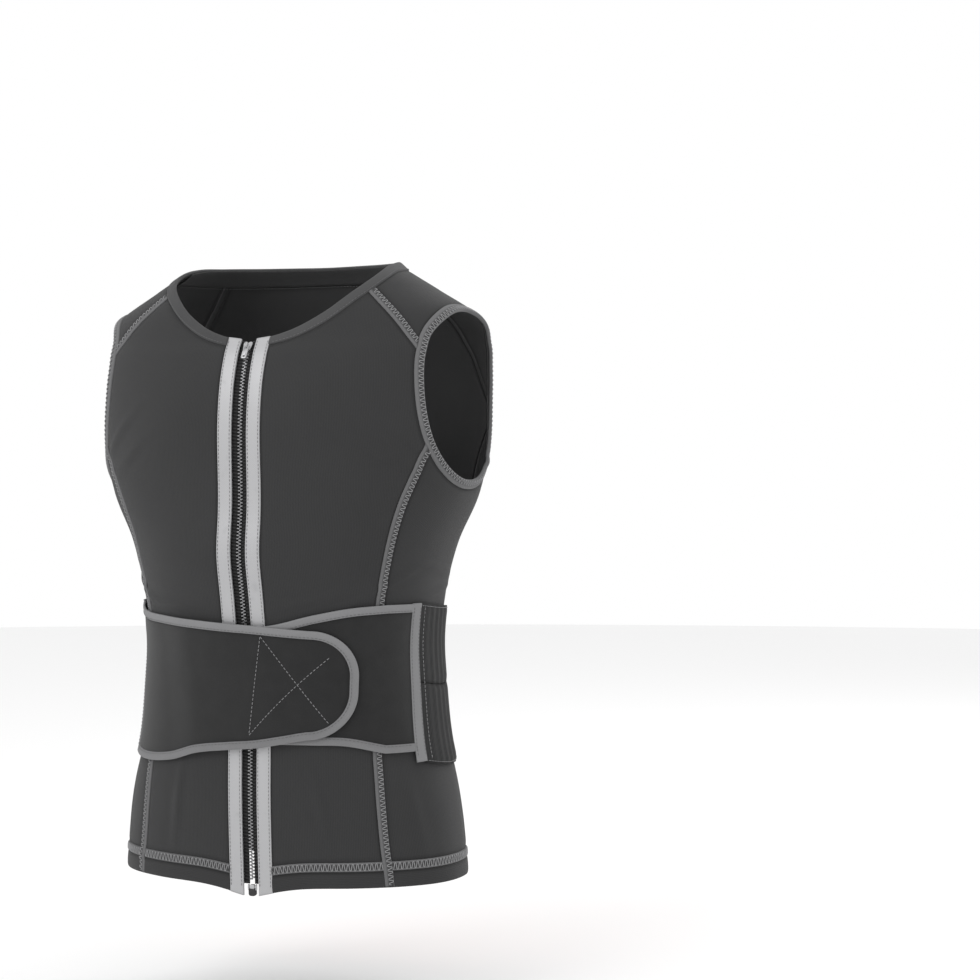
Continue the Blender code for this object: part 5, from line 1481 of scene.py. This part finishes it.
def elastic_sides():
    """Two elastic panels at each side, one above the other, with a stitched row in front."""
    start = FRONT_STRIP_ANGLE + (FRONT_STRIP_WIDTH / 2 - TUCK) / belt_radius(FRONT_STRIP_ANGLE)
    end = BACK_STRIP_ANGLE - (BACK_STRIP_WIDTH / 2 - TUCK) / belt_radius(BACK_STRIP_ANGLE)
    for word, high, low, top_inset, low_inset in (("upper", 0.0, 0.5, 0.0, -0.0003),
                                                  ("lower", 0.5, 1.0, 0.0003, 0.0)):
        spot = grid_between(belt_line(start, end, high, top_inset),
                            belt_line(start, end, low, low_inset), 26, 60)
        over, down = grid_sizes(lifted(spot))
        edge = np.minimum(down, down[-1:] - down)
        puff = -0.0009 * np.exp(-(edge / 0.0035)**2)
        across = over / over[:, -1:]
        ripple = 0.0005 * np.sin(over * 2 * math.pi / 0.0125) * np.sin(math.pi * across)
        points = lifted(spot, BELT_LIFT + BELT_THICKNESS - 0.0003 + puff + ripple)
        # Painted shade: a dark line along the top and bottom edges of each elastic panel.
        painted_shade = np.exp(-(edge / 0.0012)**2)
        form = grid_form(points, values={"seam": painted_shade})
        for side, one in (("left", form), ("right", form.mirrored())):
            name = f"belt_elastic_{word}_{side}"
            made = piece(name, one, BELT_ELASTIC, "belt_fabric", stands_for=[name],
                         closed=False, wall=BELT_THICKNESS - 0.0006)
            declare_sheet(points, ["side_panel_" + side])
    place = FRONT_STRIP_ANGLE + 0.0125 / belt_radius(FRONT_STRIP_ANGLE)
    rear = BACK_STRIP_ANGLE - 0.0105 / belt_radius(BACK_STRIP_ANGLE)
    rows = []
    for angle in (place, rear):
        top, bottom = belt_drops(np.array([angle]))
        drops = np.linspace(top[0], bottom[0], 81)
        course = Course(np.stack([np.full(81, angle), section_at(drops)], -1), folded=False)
        rows.append(stitches(course, 0.0, BELT_LIFT + BELT_THICKNESS + 0.0002, 0.0042, 0.0028,
                             0.00035))
    for share, inset in ((0.0, 0.0022), (1.0, -0.0022)):
        course = Course(belt_line(start, end, share, inset), folded=False)
        rows.append(stitches(course, 0.0, BELT_LIFT + BELT_THICKNESS - 0.0004, 0.0042, 0.0028,
                             0.00030))
    both_sides("elastic_stitching", joined(rows), BOX_THREAD, "grey_binding", False)


def wing_outline(edges, reach, count=180):
    """Outline of a wing: along its top, round its end on two quarter arcs, and back."""
    middle_drop = table_curve(edges[:, :2], np.zeros(1))[0] + \
        table_curve(edges[:, [0, 2]], np.zeros(1))[0]
    radius = float(np.linalg.norm(torso(reach, section_at(middle_drop / 2))[:2]))
    corner = WING_CORNER / radius
    along = np.linspace(-FRONT_STRIP_ANGLE - 0.02, reach - corner, count)
    turn = np.linspace(0, math.pi / 2, 60)[1:]
    degrees = np.degrees(along)
    top = table_curve(edges[:, :2], degrees) * BACK_LENGTH
    bottom = table_curve(edges[:, [0, 2]], degrees) * BACK_LENGTH
    bend = reach - corner + corner * np.sin(turn)
    high = top[-1] + WING_CORNER * (1 - np.cos(turn))
    low = bottom[-1] - WING_CORNER * (1 - np.cos(turn))
    upper = np.stack([np.concatenate([along, bend]), np.concatenate([top, high])], -1)
    lower = np.stack([np.concatenate([along, bend]), np.concatenate([bottom, low])], -1)
    closing = np.linspace(upper[-1], lower[-1], 24)[1:-1]
    outline = np.vstack([upper, closing, lower[::-1]])
    outline[:, 1] = section_at(outline[:, 1] / BACK_LENGTH)
    return outline


def wing_rise(over):
    """The lift of a wing: the right one climbs over the end of the left one, smoothly."""
    def rise(spot):
        if not over:
            return np.full(spot.shape[:-1], BELT_LIFT)
        climb = np.clip((spot[..., 0] + LEFT_WING_REACH + math.radians(24)) / math.radians(18),
                        0, 1)
        return BELT_LIFT + WING_RISE * climb * climb * (3 - 2 * climb)
    return rise


def make_wing(word, edges, reach, over):
    """One belt wing, the binding round its edge, and the stitching along the binding."""
    outline = wing_outline(edges, reach)
    rise = wing_rise(over)
    root_angle = -FRONT_STRIP_ANGLE + (FRONT_STRIP_WIDTH / 2 - TUCK) / belt_radius(
        FRONT_STRIP_ANGLE)
    root = np.stack([np.full(201, root_angle), middle_back[:, 1]], -1)
    inner = between(moved_sideways(outline, BELT_BINDING), root, root)
    inset = between(moved_sideways(outline, BELT_BINDING - TUCK), root, root)
    row_line = between(moved_sideways(outline, BELT_BINDING - 0.0018), root, root)
    outline = between(outline, root, root)
    nose = int(np.argmax(outline[:, 0] > outline[:, 0].max() - 0.16))

    def three_runs(line, long_steps, end_steps):
        """The top run, the rounded end and the bottom run of a line round the wing."""
        return (evenly(line[:nose + 1], long_steps),
                evenly(line[nose:len(line) - nose], end_steps),
                evenly(line[len(line) - nose - 1:], long_steps))

    first = chained(*three_runs(outline, 110, 90))
    second = chained(*three_runs(inner, 110, 90))
    share, lift = bar_ring(0.0, BINDING_THICKNESS - 0.0002, 0.0003, 28, 4.0)
    spot = first[:, None] * (1 - share)[None, :, None] + second[:, None] * share[None, :, None]
    form = capped(lifted(spot, lift[None] + rise(spot)))
    name = "belt_binding_" + word
    mirror = word == "left"
    piece(name, form.mirrored() if mirror else form, BELT_BAND, "grey_binding",
          stands_for=[name])
    top, front_end, bottom = three_runs(inset, 80, 30)
    bottom = bottom[::-1]
    back_end = evenly(np.linspace(top[0], bottom[0], 9), 30)
    spot = patch(back_end, front_end, top, bottom)
    form = belt_sheet("belt_wing_" + word, spot, rise(spot), BELT_CLOTH)
    made = piece("belt_wing_" + word, form.mirrored() if mirror else form, BELT_CLOTH,
                 "belt_fabric", stands_for=["belt_wing_" + word], closed=False,
                 wall=BELT_THICKNESS - 0.0004)
    declare_sheet(lifted(spot), ["belt_front_strip_right" if over else
                                       "belt_front_strip_left"])
    course = Course(row_line, rise=rise, folded=False)
    form = stitches(course, 0.0, BINDING_THICKNESS + 0.0001)
    piece(name + "_stitching", form.mirrored() if mirror else form, EDGE_THREAD, "grey_binding")


def make_stitch_box():
    """Crossed stitching on the right wing: straight rows between its corners."""
    corners = [np.array([math.radians(degrees), section_at(drop)])
               for degrees, drop in (STITCH_TOP, STITCH_BOTTOM, STITCH_HIGH_END, STITCH_LOW_END)]
    top, bottom, high_end, low_end = corners
    rows = []
    for start, end in ((top, bottom), (top, low_end), (bottom, high_end)):
        course = Course(np.linspace(start, end, 61), rise=wing_rise(True), folded=False)
        rows.append(stitches(course, 0.0, BELT_THICKNESS + 0.0002, 0.0042, 0.0027, 0.00040,
                             0.0005))
    piece("wing_box_stitching", joined(rows), BOX_THREAD, "grey_binding")


def make_belt_seams():
    """The long back seams where they run over the belt, as a low band with its ladder."""
    drops = np.linspace(0.5665, 0.826, 121)
    across = CHEST_WIDTH * table_curve(BACK_PRINCESS, drops)
    sections = section_at(drops)
    line = np.stack([angle_where(sections, across, 0, 90, 180), sections], -1)
    base = BELT_LIFT + BELT_THICKNESS
    ring = bar_ring(base - 0.0004, base + 0.0006, 0.0003, 24, 4.0)
    form = strap(moved_sideways(line, 0.0036), moved_sideways(line, -0.0036), ring, 120,
                 folded=False, values={"ladder": ladder_share(0.06, 0.56)})
    both_sides("belt_back_seam", form, SEAM_BAND, "seam_thread", False)
    course = Course(line, folded=False)
    thread = ladder(course, 0.0031, -0.0004, base + 0.0010)
    both_sides("belt_back_seam_ladder", thread, SEAM_THREAD, "seam_thread", False)


# Back protector
def plate_spots(outline, drop, length, width, share, across, wave):
    """Spots of a plate on the back: rows down it with a wave of three humps, columns across."""
    calm = np.clip(np.minimum(share, 1 - share) * 12, 0, 1) * (1 - across**4)
    down = drop + length * share + wave * np.cos(3 * math.pi * across) * calm
    half = width * table_curve(outline, share)
    section = section_at(down / BACK_LENGTH)
    offset = half * across
    angle = angle_where(section, np.abs(offset), 0, 90, 180)
    return np.stack([np.where(offset < 0, 2 * math.pi - angle, angle), section], -1)


def make_protector():
    """The main plate: a crowned cushion whose top steps down in wavy ridges.

    Rows are placed at set phases of each ridge, close together at its step. The height is
    the rest height, plus the thickness, plus a saw-tooth of the phase."""
    phases = np.array([0.0, 0.30, 0.60, 0.82, 0.93, 0.965])
    share = ((np.arange(RIDGES)[:, None] + phases[None]) / RIDGES).ravel()
    share = np.append(share, 1.0)
    phase = np.append(np.tile(phases, RIDGES), 0.0)
    across = np.sin(np.linspace(-1, 1, 91) * math.pi / 2 * 0.96) / math.sin(math.pi / 2 * 0.96)
    share, across = np.meshgrid(share, across, indexing="ij")
    phase = np.broadcast_to(phase[:, None], share.shape)
    spot = plate_spots(PROTECTOR_OUTLINE, PROTECTOR_DROP, PROTECTOR_LENGTH, PROTECTOR_WIDTH,
                       share, across, RIDGE_WAVE)
    belt_top = BELT_LIFT + BINDING_THICKNESS
    rest = protector_rest(PROTECTOR_DROP + PROTECTOR_LENGTH * share, belt_top)
    ends = np.clip(np.minimum(share, 1 - share) * 14, 0, 1)
    crown = (1 - np.abs(across)**3) * ends**0.6
    rim = np.clip((1 - np.abs(across)) / 0.05, 0, 1) * np.clip(
        np.minimum(share, 1 - share) / 0.014, 0, 1)
    rim = np.sqrt(1 - (1 - rim)**2)
    body = PROTECTOR_EDGE * (0.45 + 0.55 * rim) + (PROTECTOR_THICKNESS - PROTECTOR_EDGE) * crown
    thinner = np.interp(PROTECTOR_DROP + PROTECTOR_LENGTH * share,
                        [BELT_EDGES[-1, 1] * BACK_LENGTH, TAIL_DROP], [0, 0.0035])
    body = body - thinner * crown
    saw = np.where(phase < 0.94, phase**1.4, 0.25 * (1 - phase) / 0.06)
    calm = np.clip(rim * 1.4 - 0.2, 0, 1)
    relief = RIDGE_HEIGHT * (saw - 0.45) * calm
    # Painted shade: a mark at each ridge's step, where the colour is darkened.
    groove_shade = np.clip(1 - np.minimum(phase, 1 - phase) / 0.075, 0, 1) * calm
    vent = np.zeros(share.shape)
    top_points = lifted(spot, rest + body)
    for x_share, y_share in PLATE_VENTS:
        middle = top_points[np.argmin(np.abs(share[:, 0] - y_share)),
                            np.argmin(np.abs(across[0] * table_curve(
                                PROTECTOR_OUTLINE, np.array([y_share])) - x_share))]
        away = np.linalg.norm(top_points - middle, axis=-1)
        vent = np.maximum(vent, np.clip((VENT_RADIUS - away) / 0.0012, 0, 1))
    lift = rest + body + relief * (1 - vent) - 0.0030 * vent
    # Painted highlight: a strip along one side of the plate, painted paler as if lit.
    painted_lit_side = np.clip((-across - 0.50 + 0.2 * share) / 0.03, 0, 1)
    outer = lifted(spot, lift)
    base = lifted(spot, rest)
    side_rings = [lifted(spot, rest + (lift - rest) * k) for k in (0.66, 0.33)]
    form = closed_plate(outer, side_rings, base)
    # The vent hollows join the ridge steps in the painted shade mark.
    marks = plate_marks(form, np.maximum(groove_shade, vent), painted_lit_side, outer.shape[:2])
    form.values = marks
    made = piece("back_protector", form, PLATE_FOAM, "protector", stands_for=["back_protector"])


def protector_rest(drop, belt_top):
    """Height of the main plate's back: over the pocket band, the cloth, the belt, the tail."""
    pocket = CLOTH + 0.0009 + 0.0010 + PROTECTOR_CLEARANCE
    panel_rest = CLOTH + PROTECTOR_CLEARANCE
    belt_rest = belt_top + PROTECTOR_CLEARANCE
    tail_rest = belt_top + TAIL_CLEARANCE + TAIL_THICKNESS + PROTECTOR_CLEARANCE
    belt_start = BELT_EDGES[-1, 1] * BACK_LENGTH
    return np.interp(drop, [POCKET_BAND_DROP + POCKET_BAND_WIDTH, POCKET_BAND_DROP + 0.030,
                            belt_start - 0.060, belt_start - 0.024, TAIL_DROP - 0.020,
                            TAIL_DROP - 0.005],
                     [pocket, panel_rest, panel_rest, belt_rest, belt_rest, tail_rest])


def rim_order(rows, columns):
    """Grid places round the border of a grid, as rows and columns."""
    row = np.concatenate([np.zeros(columns - 1), np.arange(rows - 1),
                          np.full(columns - 1, rows - 1), np.arange(rows - 1, 0, -1)])
    column = np.concatenate([np.arange(columns - 1), np.full(rows - 1, columns - 1),
                             np.arange(columns - 1, 0, -1), np.zeros(rows - 1)])
    return row.astype(int), column.astype(int)


def closed_plate(outer, sides, base):
    """A solid between two grids with the same outline, with rings up its side wall."""
    rows, columns = outer.shape[:2]
    row, column = rim_order(rows, columns)
    ring = row * columns + column
    count = rows * columns
    quads = grid_faces(rows, columns)[0]
    over, down = grid_sizes(outer)
    corner_row, corner_column = grid_faces(rows, columns)[1:]
    uv = np.stack([over[corner_row, corner_column], down[corner_row, corner_column]], -1)
    points = [outer.reshape(-1, 3), base.reshape(-1, 3)]
    loops = [ring]
    for number, side in enumerate(sides):
        points.append(side[row, column])
        loops.append(2 * count + number * len(ring) + np.arange(len(ring)))
    loops.append(count + ring)
    walls = [np.stack([high, np.roll(high, -1), np.roll(low, -1), low], -1)[:, ::-1]
             for high, low in zip(loops[:-1], loops[1:])]
    all_quads = np.vstack([quads, quads[:, ::-1] + count] + walls)
    rest_uv = np.zeros((len(all_quads) - len(quads), 4, 2))
    return Form(np.vstack(points), all_quads, np.concatenate([uv, rest_uv]))


def plate_marks(form, groove_shade, painted_lit_side, shape):
    """Painted groove shade and painted lit-side marks on the top grid, and none on the rest of the
    plate.
    """
    rest = len(form.points) - shape[0] * shape[1]
    return {"groove_shade": np.concatenate([groove_shade.ravel(), np.zeros(rest)]),
            "painted_lit_side": np.concatenate([painted_lit_side.ravel(), np.zeros(rest)])}


def make_tail():
    """The tail plate: a fine grid whose points near a vent slide out to its circle, and whose
    faces inside it are left out; a wall then gives it thickness, and a bevel its edges."""
    share, across = np.meshgrid(np.linspace(0, 1, 141), np.linspace(-1, 1, 111), indexing="ij")
    spot = plate_spots(TAIL_OUTLINE, TAIL_DROP, TAIL_LENGTH, TAIL_WIDTH, share, across, 0.0)
    x = TAIL_WIDTH * table_curve(TAIL_OUTLINE, share) * across
    y = TAIL_LENGTH * share
    cut = np.zeros(share.shape, bool)
    for x_share, y_share in TAIL_HOLES:
        for sign in ((1, -1) if x_share > 0 else (1,)):
            away_x, away_y = x - sign * x_share * TAIL_WIDTH, y - y_share * TAIL_LENGTH
            away = np.hypot(away_x, away_y)
            near = np.abs(away - TAIL_HOLE_RADIUS) < 0.00075
            scale = np.where(near, TAIL_HOLE_RADIUS / np.maximum(away, 1e-9), 1.0)
            x = np.where(near, sign * x_share * TAIL_WIDTH + away_x * scale, x)
            y = np.where(near, y_share * TAIL_LENGTH + away_y * scale, y)
            cut |= away < TAIL_HOLE_RADIUS - 0.00070
    section = section_at((TAIL_DROP + y) / BACK_LENGTH)
    angle = angle_where(section, np.abs(x), 0, 90, 180)
    spot = np.stack([np.where(x < 0, 2 * math.pi - angle, angle), section], -1)
    lift = BELT_LIFT + BINDING_THICKNESS + TAIL_CLEARANCE
    rim = np.clip((1 - np.abs(across)) / 0.05, 0, 1) * np.clip((1 - share) / 0.03, 0, 1)
    dome = -0.0009 * (1 - np.sqrt(1 - (1 - rim)**2))
    crease = 0.0005 * np.clip(1 - np.abs(across) / 0.5, 0, 1)
    form = grid_form(lifted(spot, lift + TAIL_THICKNESS - 0.0002 + dome + crease * 0.3))
    inside = cut.ravel()[form.quads].any(1)
    form.quads, form.quad_uv = form.quads[~inside], form.quad_uv[~inside]
    used, order = np.unique(form.quads, return_inverse=True)
    edge = np.zeros(len(form.points))
    form.points, form.quads = form.points[used], order.reshape(-1, 4)
    form.values = {"groove_shade": edge[used], "painted_lit_side": np.zeros(len(used))}
    made = piece("tail_protector", form, PLATE_FOAM, "protector",
                 stands_for=["tail_protector"], closed=False, wall=TAIL_THICKNESS - 0.0004)
    soft = made.modifiers.new("Softened rims", "BEVEL")
    soft.width = 0.0006
    soft.segments = 2
    soft.limit_method = "ANGLE"
    soft.angle_limit = math.radians(50)


# Stage, light and camera
def make_stage():
    """A pale floor disc under the vest, and a soft white surround."""
    turn = np.linspace(0, 2 * math.pi, 96, endpoint=False)
    radius = np.array([0.01, 1.0, 3.0, 7.0])
    ring = np.stack([np.cos(turn), np.sin(turn), np.zeros(96)], -1)
    points = ring[None] * radius[:, None, None] + np.array([0.0, 0.0, -0.75])
    form = capped(points)
    mesh = bpy.data.meshes.new("floor")
    faces = form.quads.tolist() + form.triangles[:96].tolist()
    mesh.from_pydata(form.points.tolist(), [], faces)
    floor = bpy.data.objects.new("floor", mesh)
    bpy.context.scene.collection.objects.link(floor)
    paint = Paint("pale_floor", 0.9, Specular_IOR_Level=0.1)
    mesh.materials.append(paint.finish((0.9, 0.9, 0.9, 1.0)))
    world = bpy.data.worlds.new("soft_surround")
    world.use_nodes = True
    back = world.node_tree.nodes["Background"]
    back.inputs["Color"].default_value = (1.0, 1.0, 1.0, 1.0)
    back.inputs["Strength"].default_value = WORLD_STRENGTH
    bpy.context.scene.world = world
    bpy.context.scene.view_settings.view_transform = "Standard"


def lamp(name, place, target, size, power):
    """A square area light aimed at a point."""
    light = bpy.data.lights.new(name, "AREA")
    light.shape = "SQUARE"
    light.size = size
    light.energy = power
    made = bpy.data.objects.new(name, light)
    made.location = place
    made.rotation_euler = (Vector(target) - Vector(place)).to_track_quat("-Z", "Y").to_euler()
    bpy.context.scene.collection.objects.link(made)


def make_camera():
    """A camera at the photograph's angle: its place lies on a line from the vest's middle at
    the photo's azimuth and elevation, and it aims beside the vest, as the photo frames it."""
    turn, rise = math.radians(CAMERA_AZIMUTH), math.radians(CAMERA_ELEVATION)
    middle = Vector((0.0, 0.0, -0.32))
    back = Vector((math.sin(turn) * math.cos(rise), -math.cos(turn) * math.cos(rise),
                   math.sin(rise)))
    right = Vector((math.cos(turn), math.sin(turn), 0.0))
    place = middle + back * CAMERA_DISTANCE
    target = middle + right * AIM_RIGHT + Vector((0.0, 0.0, AIM_UP))
    data = bpy.data.cameras.new("photo_camera")
    data.lens = 36.0 * CAMERA_DISTANCE / PHOTO_WIDTH
    data.sensor_width = 36.0
    made = bpy.data.objects.new("photo_camera", data)
    made.location = place
    made.rotation_euler = (target - place).to_track_quat("-Z", "Y").to_euler()
    bpy.context.scene.collection.objects.link(made)
    bpy.context.scene.camera = made


WORLD_STRENGTH = 1.0
CAMERA_AZIMUTH = 24.53
CAMERA_ELEVATION = 2.0
CAMERA_DISTANCE = 2.4
PHOTO_WIDTH = 1.029
AIM_RIGHT = 0.203
AIM_UP = 0.0935
BELT_THREAD = EDGE_THREAD

make_stage()
lamp("key", (-0.9, -2.4, 1.5), (0.0, 0.0, -0.25), 1.6, 24.0)
lamp("rear", (1.6, 2.4, 1.6), (0.0, 0.0, -0.3), 1.8, 24.0)
make_camera()
make_panels()
make_seams()
make_edges()
make_zip()
make_belt_back()
make_wing("right", RIGHT_WING_EDGES, RIGHT_WING_REACH, True)
left_edges = (BELT_EDGES[BELT_EDGES[:, 0] <= 62] * np.array([-1.0, 1.0, 1.0]))[::-1]
make_wing("left", left_edges, LEFT_WING_REACH, False)
make_stitch_box()
make_belt_seams()
make_protector()
make_tail()
